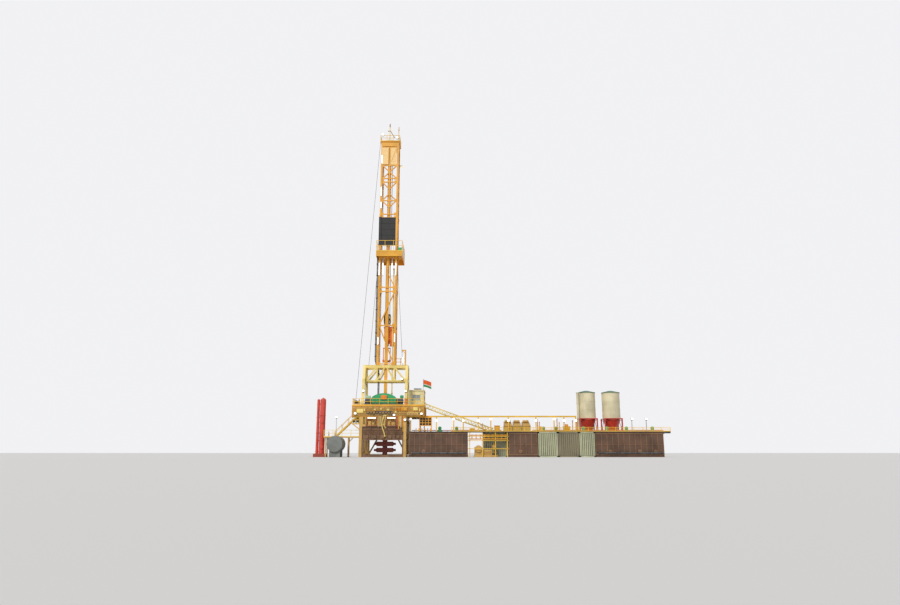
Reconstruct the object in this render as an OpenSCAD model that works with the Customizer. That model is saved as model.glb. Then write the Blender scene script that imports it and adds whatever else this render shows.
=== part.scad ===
// Oil drilling rig at half size. Millimetres, Z up, X along the tank row, Y away from the drawworks side.
// The well centre at ground level is the origin.

/* [Drill floor] */
// Height of the drill floor's top
floor_z = 3850; // [3500:25:4300]
// Depth of the floor beams
floor_beam = 800; // [500:10:900]
// Left edge of the floor
floor_l = 2350; // [2300:50:2900]
// Right edge of the floor
floor_r = 3100; // [2950:50:3400]
// Rear edge of the floor, from the well
floor_rear = 2100; // [1900:50:2300]
// Front edge of the floor, from the well
floor_front = 2400; // [2300:50:2800]
// Height of the handrails
rail_h = 525; // [450:25:600]

/* [Portal base] */
// Half of the width over the side frames
portal_half = 1775; // [1700:25:1900]
// Height of the header's top
portal_z = 7100; // [6700:50:7500]
// Half of the spread of the side frames at the floor
portal_spread = 1500; // [1300:50:1600]

/* [Mast] */
// Half of the mast's width
mast_half_w = 750; // [700:10:850]
// Half of the mast's depth
mast_half_d = 700; // [650:10:800]
// Side of the square legs
leg = 150; // [100:10:180]
// Width of the braces
brace = 80; // [50:5:100]
// Height of the joint between the lower and middle sections
joint_1 = 13275; // [13000:25:13500]
// Height of the joint between the middle and upper sections
joint_2 = 19550; // [19300:25:19700]
// Height of the mast's top
mast_z = 25750; // [25000:50:26500]
// Height of the racking board's walkway
board_z = 16400; // [16200:50:16600]

/* [Hoist] */
// Lowest point of the top drive's elevator
elevator_z = 7400; // [7000:50:8000]
// Diameter of each drilling line
line_d = 24; // [16:2:30]

/* [Tank row] */
// Left end of the tank row
row_start = 1980; // [1850:10:2000]
// Height of the deck on the tanks
deck_z = 1900; // [1700:25:2000]
// Front face of the tanks, from the well
tank_front = 1800; // [1700:50:2000]
// Rear face of the tanks, from the well
tank_rear = 200; // [100:50:400]
// Right end of the tank row
row_end = 21830; // [21500:10:22500]
// Height of the lamp beam's top
lamp_beam_z = 3090; // [2900:5:3200]

/* [Silos] */
// Outside diameter of each silo
silo_d = 1440; // [1200:10:1500]
// Height of the silos' eaves
silo_z = 5100; // [4600:50:5400]
// Distance between the silos
silo_gap = 2010; // [1900:10:2200]

/* [Left side] */
// Height of the left landing
landing_z = 1500; // [1300:50:1500]
// Height of the separator vessel
vessel_z = 4350; // [4000:50:4600]

/* [Hidden] */
$fn = 32;
wall = 30;
floor_under = floor_z - 40;
truss_top = floor_under - floor_beam;
truss_t = 200;
inner_w = mast_half_w - leg;
inner_d = mast_half_d - leg;
header_z = portal_z - 1250;
board_u = board_z - 430;
silo_1 = on_row(14290);
silo_2 = silo_1 + silo_gap;
silo_y = 2000;
vdoor = 500;
guard_half = 930;
leg_clear = 85;
skid_half = portal_half - truss_t - leg_clear;
motor_in = guard_half + 50;
motor_out = skid_half - 30;
dog_l = portal_half + 5;
dog_r = floor_r - 80;
balcony_z = 2880;
bay_z = truss_top - 670;
gang_rise = floor_z - deck_z;
gang_x = floor_r + 5350;
gang_front = 700;
gang_rear = 250;
block_z = elevator_z + 3900;
gap = 0.3;

// A place along the tank row, given from the left end of a row 19850 long.
function on_row(x) = row_start + round(x * (row_end - row_start) / 19850);

// Heights in each mast section, given above the foot of a section of the usual height.
function low(h) = portal_z + round(h * (joint_1 - portal_z) / 6175);
function mid(h) = joint_1 + round(h * (joint_2 - joint_1) / 6275);
function up(h) = joint_2 + round(h * (mast_z - joint_2) / 6200);

// A straight bar from p to q in a flat drawing, w wide.
module bar(p, q, w) {
  d = q - p;
  translate(p) rotate(atan2(d[1], d[0])) translate([0, -w / 2]) square([norm(d), w]);
}

// Stands a drawing of X and Z up at y0, t thick.
module xz(y0, t) translate([0, y0 + t, 0]) rotate([90, 0, 0]) linear_extrude(t) children();

// Stands a drawing of Y and Z up at x0, t thick.
module yz(x0, t) translate([x0, 0, 0]) rotate([90, 0, 90]) linear_extrude(t) children();

// A box from its low corner to its high corner.
module box(a, b) translate(a) cube(b - a);

// A flat handrail drawing, from x0 to x1 along, standing at z0.
module rail_2d(x0, x1, z0, bays, h = rail_h) {
  step = (x1 - x0 - 30) / bays;
  for (i = [0 : bays]) translate([x0 + round(i * step), z0]) square([30, h]);
  for (z = [0, h / 2, h - 30]) translate([x0, z0 + round(z)]) square([x1 - x0, 30]);
  translate([x0, z0]) square([x1 - x0, 60]);
}

// Well

module blowout_preventer() color("firebrick") {
  cylinder(d = 620, h = 90);
  translate([0, 0, 90]) cylinder(d = 380, h = 260);
  box([-620, -170, 350], [620, 170, 700]);
  translate([0, 0, 700]) cylinder(d = 380, h = 120);
  box([-620, -170, 820], [620, 170, 1170]);
  translate([0, 0, 1170]) cylinder(d = 380, h = 120);
  translate([0, 0, 1290]) cylinder(d = 640, h = 560);
  translate([0, 0, 1850]) cylinder(d = 420, h = 120);
  translate([0, 0, 1970]) cylinder(d = 240, h = floor_under - 2000);
  translate([0, 0, floor_under - 30]) cylinder(d = 760, h = 30);
}

// Substructure

module side_truss_2d() {
  y = [-floor_rear, -1000, 150, 1300, floor_front];
  intersection() {
    translate([-floor_rear, 0]) square([floor_rear + floor_front, truss_top]);
    union() {
      translate([-floor_rear, 0]) square([floor_rear + floor_front, 220]);
      translate([-floor_rear, truss_top - 220]) square([floor_rear + floor_front, 220]);
      translate([-floor_rear, landing_z - 160]) square([1190, 160]);
      for (i = [0 : 4]) translate([max(-floor_rear, min(y[i] - 90, floor_front - 180)), 0]) square([180, truss_top]);
      bar([y[0] + 90, 110], [y[1], landing_z - 80], 110);
      bar([y[0] + 90, truss_top - 110], [y[1], landing_z - 80], 110);
      bar([y[1], 110], [y[2], truss_top - 110], 130);
      bar([y[2], truss_top - 110], [y[3], 110], 130);
      bar([y[3], 110], [y[4] - 90, truss_top - 110], 130);
    }
  }
}

module substructure_trusses() color("peru")
  for (x = [-portal_half, portal_half - truss_t]) yz(x, truss_t) side_truss_2d();

module rear_base_frame() color("saddlebrown") {
  w = portal_half - truss_t;
  y = -floor_rear;
  top = bay_z - 60;
  box([-w, y, 1250], [w, y + 200, 1310]);
  box([-w, y, top - 60], [w, y + 200, top]);
  box([-w, y + 80, 1310], [w, y + 120, top - 60]);
  for (i = [0 : 5]) translate([-w + round(i * (2 * w - 50) / 5), y, 1310]) cube([50, 200, top - 1370]);
  box([-w, y, 0], [w, y + 200, 160]);
  for (x = [-w, w - 100]) box([x, y + 20, 160 + gap], [x + 100, y + 180, 1250 - gap]);
}

module front_base_frame() color("peru") {
  w = portal_half - truss_t;
  xz(floor_front - 160, 160) intersection() {
    translate([-w, 0]) square([2 * w, truss_top]);
    union() {
      translate([-w, 0]) square([2 * w, 200]);
      translate([-w, truss_top - 200]) square([2 * w, 200]);
      bar([-w, 100], [0, truss_top - 100], 110);
      bar([w, 100], [0, truss_top - 100], 110);
      for (x = [-w, w - 100]) translate([x, 0]) square([100, truss_top]);
    }
  }
}

// Two lit machine bays under the rear of the floor, open to the rear.
module service_bays() color("burlywood") {
  w = portal_half - truss_t;
  y = -floor_rear;
  difference() {
    box([-w, y, bay_z - 60], [w, y + 650, truss_top]);
    for (x = [[-1230, -480], [280, 1010]]) box([x[0], y - 10, bay_z], [x[1], y + 600, truss_top - 60]);
    for (x = [[-w + 60, -1290], [-420, 220], [1070, w - 60]]) box([x[0], y + 60, bay_z], [x[1], y + 660, truss_top - 60]);
  }
}

// Plate girders run from rear to front, with cross beams cut in between them.
module floor_beams() color("goldenrod") {
  z = [truss_top, floor_under];
  girders = [[-floor_l, -floor_l + 60], [-portal_half, -portal_half + truss_t], [-540, -480], [480, 540], [portal_half - truss_t, portal_half], [2400, 2460], [floor_r - 60, floor_r]];
  rows = [-floor_rear + 60, -1110, -540, 480, 1200, floor_front - 120];
  for (y = [-floor_rear, floor_front - 60]) box([-floor_l, y, z[0]], [floor_r, y + 60, z[1]]);
  for (g = girders) box([g[0], -floor_rear + 60 + gap, z[0]], [g[1], floor_front - 60 - gap, z[1]]);
  for (i = [0 : len(girders) - 2]) for (j = i > 0 && i < 4 ? [1, 2, 3, 4] : i == 0 ? [1, 3, 4] : [1, 4])
    box([girders[i][1] + gap, rows[j], z[0]], [girders[i + 1][0] - gap, rows[j] + 60, z[1]]);
}

module floor_deck() color("dimgray") difference() {
  box([-floor_l, -floor_rear, floor_under], [floor_r, floor_front, floor_z]);
  box([-300, -300, floor_under - 1], [300, 300, floor_z + 1]);
  box([-floor_l + 60, -1050, floor_under - 1], [-portal_half, 0, floor_z + 1]);
}

module rotary_table() color("darkred") difference() {
  union() {
    box([-450, -400, floor_z], [450, 400, floor_z + 50]);
    translate([0, 0, floor_z + 50]) cylinder(r = 330, h = 40);
  }
  translate([0, 0, floor_z - 1]) cylinder(r = 130, h = 200, $fn = 12);
}

module rear_floor_rail() color("gold")
  xz(-floor_rear, 30) rail_2d(-floor_l, floor_r, floor_z, 8);

module side_floor_rails() color("gold") {
  yz(floor_r - 30, 30) rail_2d(-floor_rear + 35, -gang_front - 40, floor_z, 2);
  yz(-floor_l, 30) left_rail_2d();
}

module left_rail_2d() {
  rail_2d(-floor_rear + 35, -1100, floor_z, 2);
  rail_2d(50, floor_front - 35, floor_z, 4);
  translate([-1130, floor_z + rail_h - 30]) square([1210, 30]);
  translate([-1130, floor_z + 247]) square([1210, 30]);
}

module front_floor_rail() color("gold") xz(floor_front - 30, 30) {
  rail_2d(-floor_l, -vdoor, floor_z, 3);
  rail_2d(vdoor, floor_r, floor_z, 4);
}

// Machinery on the floor

// An arched guard over the drum, with a blower box at its rear.
module drawworks_cover() color("seagreen") {
  arch = [[guard_half, 150], [guard_half, 560], [guard_half - 100, 690], [guard_half - 330, 810],
          [guard_half - 600, 890], [guard_half - 820, 920]];
  xz(-1800, 800) translate([0, floor_z]) union() for (s = [0, 1]) mirror([s, 0]) polygon(concat([[0, 150]], arch, [[0, 920]]));
  box([-190, -1900, floor_z + 470], [230, -1800, floor_z + 770]);
}

// A skid between the portal's rear legs, with a motor on either side of the guard.
module drawworks_skid() color("slategray") {
  motor_x = (motor_in + motor_out) / 2;
  foot = (motor_out - motor_in) / 2 - 60;
  difference() {
    box([-skid_half, -1960, floor_z], [skid_half, -940, floor_z + 150]);
    for (x = [[60 - skid_half, -motor_in - 10], [motor_in + 10, skid_half - 60]])
      box([x[0], -1900, floor_z - 1], [x[1], -1000, floor_z + 90]);
  }
  for (s = [-1, 1]) {
    translate([s * motor_x, -1400, floor_z + 370]) rotate([0, 90, 0])
      cylinder(d = 400, h = motor_out - motor_in, center = true);
    box([s * motor_x - foot, -1540, floor_z + 150], [s * motor_x + foot, -1260, floor_z + 240]);
  }
}

module doghouse_walls() color("khaki") difference() {
  box([dog_l, -150, floor_z], [dog_r, 2250, floor_z + 1280]);
  box([dog_l + 40, -110, floor_z - 1], [dog_r - 40, 2210, floor_z + 1281]);
  box([dog_l - 10, 300, floor_z + 40], [dog_l + 50, 750, floor_z + 1040]);
  box([dog_l + 320, -160, floor_z + 550], [dog_r - 290, -100, floor_z + 950]);
  box([dog_l - 10, 1000, floor_z + 550], [dog_l + 50, 1900, floor_z + 950]);
  box([dog_r - 50, 300, floor_z + 550], [dog_r + 10, 900, floor_z + 950]);
  box([dog_r - 50, 1300, floor_z + 550], [dog_r + 10, 1900, floor_z + 950]);
}

module doghouse_floor() color("gray") box([dog_l + 40, -110, floor_z], [dog_r - 40, 2210, floor_z + 40]);

module doghouse_roof() color("wheat") {
  box([dog_l, -190, floor_z + 1280], [dog_r + 40, 2290, floor_z + 1320]);
}

module doghouse_door() color("olivedrab") {
  box([dog_l + 5, 300, floor_z + 45], [dog_l + 35, 745, floor_z + 1035]);
  box([dog_l - 15, 660, floor_z + 500], [dog_l + 5, 720, floor_z + 560]);
}

module flagpole() color("gold") {
  box([dog_r - 80, -130, floor_z + 1320], [dog_r - 40, -90, floor_z + 2180]);
  box([dog_r - 40, -116, floor_z + 1600], [dog_r + 600, -108, floor_z + 2140]);
}

// Portal base of the mast

module side_frame_2d() {
  t = portal_spread;
  intersection() {
    translate([-t - 20, floor_z]) square([2 * t + 40, portal_z - floor_z]);
    union() {
      for (s = [-1, 1]) {
        polygon([[s * t, floor_z], [s * (t - 190), floor_z], [s * (mast_half_d - 180), portal_z], [s * mast_half_d, portal_z]]);
        bar([s * 1000, header_z + 60], [0, portal_z - 100], 100);
        bar([s * 1000, header_z - 60], [s * 1120, floor_z + 800], 90);
      }
      translate([-mast_half_d, portal_z - 230]) square([2 * mast_half_d, 230]);
      translate([-1060, header_z - 115]) square([2120, 230]);
    }
  }
}

module portal_side_frames() color("palegoldenrod")
  for (x = [-portal_half, portal_half - truss_t]) yz(x, truss_t) side_frame_2d();

module header_2d() {
  w = portal_half - truss_t;
  z0 = header_z;
  z1 = portal_z - 115;
  intersection() {
    translate([-w, z0 - 60]) square([2 * w, portal_z - z0 + 60]);
    union() {
      translate([-w, portal_z - 230]) square([2 * w, 230]);
      translate([-w, z0 - 60]) square([2 * w, 120]);
      for (s = [-1, 1]) {
        bar([s * w, z0], [s * 675, z1], 110);
        bar([s * 675, z1], [s * 675, z0], 90);
        bar([s * 675, z0], [s * 40, z1], 100);
      }
    }
  }
}

module portal_trusses() color("palegoldenrod")
  for (y = [-mast_half_d, inner_d]) xz(y, leg) header_2d();

// Mast

lower_girts = [low(100), low(3200), low(6000)];
middle_girts = [mid(175), mid(2675), mid(4175), mid(6125)];
upper_girts = [up(150), up(1350), up(3000), up(3320), up(4490), up(6140)];

// One side of a section: two legs, its girts, and a diagonal in each bay.
module side_section(x0, z0, z1, girts) {
  yz(x0, leg) for (s = [-mast_half_d, inner_d]) translate([s, z0]) square([leg, z1 - z0]);
  yz(x0 + 35, 80) intersection() {
    translate([-inner_d - 1, z0]) square([2 * inner_d + 2, z1 - z0]);
    union() {
      for (g = girts) translate([-inner_d - 1, g - brace / 2]) square([2 * inner_d + 2, brace]);
      for (i = [0 : len(girts) - 2]) if (girts[i + 1] - girts[i] > 600) {
        m = (girts[i] + girts[i + 1]) / 2;
        bar([-inner_d, girts[i]], [inner_d, m], brace);
        bar([inner_d, m], [-inner_d, girts[i + 1]], brace);
      }
    }
  }
}

// The rear side of a section, between the legs.
module rear_section(z0, z1) xz(-inner_d - 100, 100) intersection() {
  translate([-inner_w, z0]) square([2 * inner_w, z1 - z0]);
  union() children();
}
module girts_2d(girts) for (g = girts) translate([-inner_w, g - brace / 2]) square([2 * inner_w, brace]);

module mast_lower_sides() color("orange")
  for (x = [-mast_half_w, inner_w]) side_section(x, portal_z, joint_1, lower_girts);
module mast_lower_rear() color("orange") rear_section(portal_z, joint_1) {
  girts_2d(lower_girts);
  for (h = [100, 6000]) bar([-inner_w, low(3200)], [inner_w, low(h)], brace + 10);
}

module mast_middle_sides() color("orange")
  for (x = [-mast_half_w, inner_w]) side_section(x, joint_1, joint_2, middle_girts);
module mast_middle_rear() color("orange") rear_section(joint_1, joint_2) {
  girts_2d(middle_girts);
  translate([-50, mid(175)]) square([100, mid(6125) - mid(175)]);
  bar([0, mid(1375)], [inner_w, mid(175)], brace);
  for (s = [-1, 1]) for (h = [4175, 6125]) bar([s * inner_w, mid(h)], [0, mid(5125)], brace);
}

module mast_upper_sides() color("orange")
  for (x = [-mast_half_w, inner_w]) side_section(x, joint_2, mast_z, upper_girts);
module mast_upper_rear() color("orange") {
  rear_section(joint_2, mast_z) {
    girts_2d(upper_girts);
    translate([-50, up(150)]) square([100, up(6140) - up(150)]);
    plate_low = up(4490) + brace / 2 - 10;
    plate_top = up(6140) - brace / 2;
    for (s = [-1, 1]) {
      for (h = [750, 1950]) bar([s * inner_w, up(1350)], [0, up(h)], brace);
      for (h = [3320, 4490]) bar([s * inner_w, up(h)], [0, up(3900)], brace);
      bar([s * inner_w, up(3000)], [0, up(2350)], brace);
      translate([s * 310 - 220, plate_low]) square([440, plate_top - plate_low]);
    }
  }
}

module windbreak() color("black") {
  y = -inner_d - 100;
  for (s = [-1, 1]) box([s * 300 - 290, y - 20, mid(4035)], [s * 300 + 290, y, mid(6125)]);
}

// A deck right round the mast, with fingers for the pipe stands at the front.
module racking_board() color("goldenrod") {
  difference() {
    box([-940, -1060, board_u], [1190, 1900, board_z]);
    box([-910, -1030, board_u - 1], [1160, 1870, board_z - 30]);
    box([-mast_half_w, -mast_half_d, board_u - 1], [mast_half_w, mast_half_d, board_z + 1]);
    box([-600, 700, board_z - 31], [-60, 1700, board_z + 1]);
    box([60, 700, board_z - 31], [600, 1700, board_z + 1]);
  }
  difference() {
    box([-780, -730, board_u], [780, 730, board_z - 30]);
    box([-mast_half_w, -mast_half_d, board_u - 1], [mast_half_w, mast_half_d, board_z + 1]);
  }
  for (y = [800 : 130 : 1600]) for (x = [-601, 110]) box([x, y, board_z - 30], [x + 491, y + 40, board_z]);
}

module racking_board_rails() color("goldenrod") {
  h = 900;
  xz(-1060, 30) rail_2d(-940, 1190, board_z, 3, h);
  for (x = [-940, 1160]) yz(x, 30) rail_2d(-1025, 1900, board_z, 4, h);
}

// Crown

module crown_frame() color("goldenrod") {
  difference() {
    box([-mast_half_w, -mast_half_d, mast_z], [mast_half_w, mast_half_d, mast_z + 410]);
    box([-mast_half_w + 60, -mast_half_d + 60, mast_z - 1], [-330, mast_half_d - 60, mast_z + 411]);
    box([330, -mast_half_d + 60, mast_z - 1], [mast_half_w - 60, mast_half_d - 60, mast_z + 411]);
    box([-270, -mast_half_d + 60, mast_z - 1], [270, -300, mast_z + 411]);
    box([-270, 300, mast_z - 1], [270, mast_half_d - 60, mast_z + 411]);
    box([-270, -240, mast_z + 60], [270, 240, mast_z + 411]);
    box([-270, -301, mast_z + 280], [270, 301, mast_z + 411]);
  }
  difference() {
    box([-820, -780, mast_z + 410], [820, 780, mast_z + 450]);
    box([-270, -400, mast_z + 409], [270, 400, mast_z + 451]);
  }
}

module crown_sheaves() color("darkslategray") {
  for (x = [-180, -60, 60, 180]) translate([x, 0, mast_z + 560]) rotate([0, 90, 0]) cylinder(d = 640, h = 60, center = true);
  translate([0, 0, mast_z + 560]) rotate([0, 90, 0]) cylinder(d = 90, h = 560, center = true);
  for (s = [-1, 1]) box([s * 300 - 30, -120, mast_z + 450], [s * 300 + 30, 120, mast_z + 660]);
}

module crown_rails() color("gold") {
  z = mast_z + 450;
  xz(-780, 30) rail_2d(-820, 820, z, 3);
  xz(750, 30) rail_2d(-820, 820, z, 3);
  for (x = [-820, 790]) yz(x, 30) rail_2d(-745, 745, z, 2);
  box([-60, -740, z], [0, -680, z + 1600]);
  box([700, -740, z], [750, -690, z + 1300]);
}

module top_drive_guide() color("orange")
  box([-125, -inner_d, 4760], [125, -inner_d + 120, mast_z]);

// Straight stays: from the crown to the floor, and from the racking board to the portal.
module mast_stays() color("dimgray") {
  intersection() {
    box([-3000, -1000, floor_z], [0, 0, mast_z + 410]);
    xz(-770, 24) bar([-790, mast_z + 610], [-floor_l + 34, floor_z - 200], 24);
  }
  intersection() {
    box([-3000, -1000, portal_z], [3000, 0, board_u]);
    for (s = [-1, 1]) xz(-690, 24) bar([s * 760, board_u + 100], [s * 1340, portal_z - 100], 24);
  }
}

// Hoist

module travelling_block() color("black") {
  z = block_z;
  box([-250, -180, z - 800], [-190, 180, z]);
  box([190, -180, z - 800], [250, 180, z]);
  box([-190, -180, z - 80], [190, 180, z]);
  for (x = [-110, 0, 110]) translate([x, 0, z - 400]) rotate([0, 90, 0]) cylinder(d = 560, h = 70, center = true);
  translate([0, 0, z - 400]) rotate([0, 90, 0]) cylinder(d = 100, h = 380, center = true);
  box([-190, -120, z - 800], [190, 120, z - 720]);
  translate([0, 0, z - 1000]) cylinder(d = 160, h = 200);
}

module top_drive() color("darkorange") {
  z = elevator_z;
  box([-230, -220, z + 2500], [230, 220, z + 2900]);
  box([230, -190, z + 1300], [560, 190, z + 2750]);
  translate([0, 0, z + 1300]) cylinder(d = 300, h = 1200);
  box([90, -100, z + 1500], [230, 100, z + 2500]);
  translate([0, 0, z + 900]) cylinder(d = 180, h = 400);
  box([-300, -60, z + 1100], [300, 60, z + 1180]);
  for (s = [-1, 1]) box([s * 270 - 30, -30, z + 150], [s * 270 + 30, 30, z + 1100]);
  box([-320, -110, z], [320, 110, z + 150]);
  box([-200, -415, z + 1700], [200, -220, z + 2850]);
}

module drilling_lines() color("dimgray")
  for (x = [-180, -60, 60, 180]) for (y = [-90, 90])
    translate([x - line_d / 2, y - line_d / 2, block_z]) cube([line_d, line_d, mast_z - block_z]);

// Left side

module left_platforms() color("goldenrod") {
  box([-floor_l, -1050, balcony_z - 40], [-portal_half, -250, balcony_z]);
  box([-4550, -1500, landing_z - 60], [-3500 - gap, -300, landing_z]);
  box([-3500, -1500, landing_z - 60], [-portal_half, -1000, landing_z]);
  for (p = [[-4450, -1300], [-4450, -580], [-3600, -1500], [-3600, -380], [-2700, -1500], [-2700, -1080]])
    box([p[0], p[1], 0], [p[0] + 80, p[1] + 80, landing_z - 60 - gap]);
}

module platform_rails() color("gold") {
  xz(-1050, 30) rail_2d(-floor_l + 65, -portal_half - 5, balcony_z, 1, 400);
  xz(-1500, 30) rail_2d(-4550, -portal_half - 1, landing_z, 4);
}

module hatch_ladder() color("gold") {
  for (x = [-floor_l + 100, -portal_half - 130]) box([x, -300, balcony_z], [x + 30, -250, floor_z]);
  for (z = [balcony_z + 150 : 150 : floor_z - 100]) box([-floor_l + 100, -290, z], [-portal_half - 100, -260, z + 30]);
}

// A flight in X and Z, from its foot to its head: stringer, posts and handrail.
module flight_2d(p, q) {
  up = [0, 460];
  intersection() {
    translate([min(p[0], q[0]), p[1]]) square([abs(q[0] - p[0]), q[1] - p[1] + 460]);
    union() {
      bar(p - [(q - p)[0], (q - p)[1]] * 0.1, q + (q - p) * 0.1, 110);
      bar(p + up - (q - p) * 0.1, q + up + (q - p) * 0.1, 30);
      for (t = [0.02, 0.35, 0.68, 0.98]) translate(p + (q - p) * t - [15, 0]) square([30, 460]);
    }
  }
}

module stair_frames() color("gold") {
  for (y = [-900, -430]) xz(y, 30) flight_2d([-3780, landing_z], [-floor_l, balcony_z]);
  for (x = [-4400, -3930]) yz(x, 30) mirror([1, 0]) flight_2d([-1000, 0], [300, landing_z]);
}

module stair_treads() color("khaki") {
  run = 3780 - floor_l;
  rise = balcony_z - landing_z;
  for (i = [1 : 12]) translate([-3780 + round(i * run / 13) - 50, -870, landing_z + round(i * rise / 13) - 20]) cube([100, 440, 20]);
  for (i = [1 : 14]) translate([-4370, 1000 - round(i * 1300 / 15) - 50, i * 100 - 20]) cube([440, 100, 20]);
}

module separator_vessels() color("red") {
  translate([-4785, -900, 250]) difference() {
    cylinder(d = 440, h = vessel_z - 250);
    translate([0, 0, 20]) cylinder(d = 410, h = vessel_z - 290);
  }
  translate([-4785, -900, vessel_z]) cylinder(d = 90, h = 160);
  translate([-5140, -900, 250]) cylinder(d = 220, h = vessel_z - 270);
  for (z = [1200, 2600]) box([-5040, -930, z], [-4990, -870, z + 60]);
}

module separator_skid() color("maroon") {
  box([-5350, -1300, 0], [-4450, -1200, 200]);
  box([-5350, -600, 0], [-4450, -500, 200]);
  for (x = [-5350, -4950, -4550]) box([x, -1200, 0], [x + 100, -600, 200]);
  box([-5350, -1300, 200], [-4450, -500, 250]);
}

// Right side

module gangway_2d(x0, x1) {
  k = gang_rise / (gang_x - floor_r);
  d = [gang_x - floor_r, -gang_rise];
  top = [floor_r, floor_z];
  intersection() {
    translate([floor_r, deck_z]) square([gang_x - floor_r, 2600]);
    union() {
      bar(top - [0, 60] - d * 0.02, top - [0, 60] + d * 1.02, 80);
      bar(top + [0, 240] - d * 0.02, top + [0, 240] + d * 1.02, 60);
      for (i = [0 : 20]) bar(top + d * i / 20 - [0, 60], top + d * (i + 0.5) / 20 + [0, 240], 30);
      for (i = [0 : 19]) bar(top + d * (i + 0.5) / 20 + [0, 240], top + d * (i + 1) / 20 - [0, 60], 30);
    }
  }
}

module gangway_sides() color("khaki")
  for (y = [-gang_front, -gang_rear - 40]) xz(y, 40) gangway_2d();

module gangway_deck() color("gray")
  xz(-gang_front + 40, gang_front - gang_rear - 80) intersection() {
    translate([floor_r, deck_z]) square([gang_x - floor_r, 2200]);
    bar([floor_r - 200, floor_z - 50 + 76], [gang_x + 200, deck_z - 50 - 76], 30);
  }

// A tank or container of plates: long walls on the ground, end walls and a floor between them.
module plate_box(x0, x1, front = -tank_front) {
  top = deck_z - 40;
  for (y = [front, -tank_rear - wall]) box([x0, y, 0], [x1, y + wall, top]);
  for (x = [x0, x1 - wall]) box([x, front + wall + gap, 0], [x + wall, -tank_rear - wall - gap, top]);
  box([x0 + wall + gap, front + wall + gap, 0], [x1 - wall - gap, -tank_rear - wall - gap, 40]);
}

module mud_tanks() color("saddlebrown") {
  plate_box(row_start, on_row(4460));
  plate_box(on_row(7550), on_row(9730));
  plate_box(on_row(14110), on_row(19280));
}

module tank_row_deck() color("darkkhaki") {
  box([row_start, -tank_front - 60, deck_z - 40], [row_end, -tank_rear, deck_z]);
  for (y = [-tank_front, -tank_rear - 60]) box([on_row(19280), y, deck_z - 140], [row_end, y + 60, deck_z - 40]);
}

module tank_row_rail() color("gold")
  xz(-tank_front - 60, 30) rail_2d(on_row(3200), row_end, deck_z, 24, 320);

module ribbed_containers() color("beige") {
  plate_box(on_row(5670), on_row(7490), 1000 - tank_front);
  plate_box(on_row(9790), on_row(11260));
  plate_box(on_row(11310), on_row(12860));
  plate_box(on_row(12910), on_row(14060));
}

module lamp_beam_frame() color("gold") {
  y = -1500;
  difference() {
    box([row_start, y, lamp_beam_z - 115], [on_row(12790), y + 80, lamp_beam_z]);
    box([row_start - 1, y - 1, truss_top - gap], [floor_r + 10, y + 81, floor_z]);
  }
  for (x = [50, 800, 2025, 3350, 4080, 5230, 6190, 7540, 9655, 11040, 11800, 12700])
    box([on_row(x), y, deck_z], [on_row(x) + 80, y + 80, min(lamp_beam_z - 115, truss_top) - gap]);
}

module shale_shakers() color("tan") {
  for (x = [on_row(7250), on_row(7950), on_row(8650)]) {
    box([x, -1300, deck_z], [x + 640, -500, deck_z + 380]);
    yz(x + 30, 580) polygon([[-1380, deck_z + 380], [-500, deck_z + 380], [-500, deck_z + 780], [-1380, deck_z + 540]]);
    translate([x + 320, -800, deck_z + 780]) rotate([0, 90, 0]) cylinder(d = 200, h = 440, center = true);
  }
}

// A rack with three rows of four deep holes, on two legs.
module hole_rack() color("darkorange") {
  x0 = on_row(760);
  difference() {
    box([x0, -1760, 2320], [x0 + 960, -1520, 2975]);
    for (i = [0 : 3]) for (j = [0 : 2]) box([x0 + 50 + i * 225, -1770, 2370 + j * 200], [x0 + 235 + i * 225, -1600, 2520 + j * 200]);
  }
  for (x = [x0, x0 + 880]) box([x, -1760, deck_z], [x + 80, -1520, 2320]);
}

module light_posts() color("gray") {
  for (x = [on_row(17140), on_row(18255)]) {
    box([x, -1000, deck_z], [x + 50, -950, 2780]);
    box([x - 40, -1040, 2740], [x + 90, -1000, 2810]);
  }
  box([-3660, -1400, landing_z], [-3610, -1350, 2930]);
  box([-3700, -1440, 2880], [-3570, -1400, 2950]);
}

// A round wall in rolled plates, eight to a ring, with open seams between them.
module rolled_wall(d, t, h) for (i = [0 : 7]) rotate(i * 45) intersection() {
  difference() {
    cylinder(d = d, h = h, $fn = 64);
    translate([0, 0, -1]) cylinder(d = d - 2 * t, h = h + 2, $fn = 64);
  }
  translate([gap, gap, -10]) linear_extrude(h + 20) polygon([[0, 0], [d, 0], [d, d - 1]]);
}

module round_tank() color("dimgray") {
  translate([-3400, -1850 - gap, 950]) rotate([90, 0, 0]) rolled_wall(1150, 30, 1500 - 2 * gap);
  box([-3600, -3200, 0], [-3520, -1500, 100]);
  for (y = [-3200, -2120]) difference() {
    box([-3800, y, 0], [-3000, y + 120, 650]);
    translate([-3400, 0, 950]) rotate([90, 0, 0]) cylinder(d = 1150 + 2 * gap, h = 9000, center = true, $fn = 64);
  }
}

module round_tank_ends() color("dimgray")
  for (y = [-3350, -1820]) translate([-3400, y, 950]) rotate([90, 0, 0]) cylinder(d = 1150, h = 30, $fn = 64);

module silo_shells() color("beige")
  for (x = [silo_1, silo_2]) translate([x, silo_y, 3050]) rolled_wall(silo_d, 30, silo_z - 3050 - gap);

module silo_caps() color("darkgreen")
  for (x = [silo_1, silo_2]) translate([x, silo_y, silo_z]) {
    rotate_extrude() polygon([[0, 0], [silo_d / 2 + 25, 0], [silo_d / 2 + 25, 50], [180, 190], [0, 190]]);
  }

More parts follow.
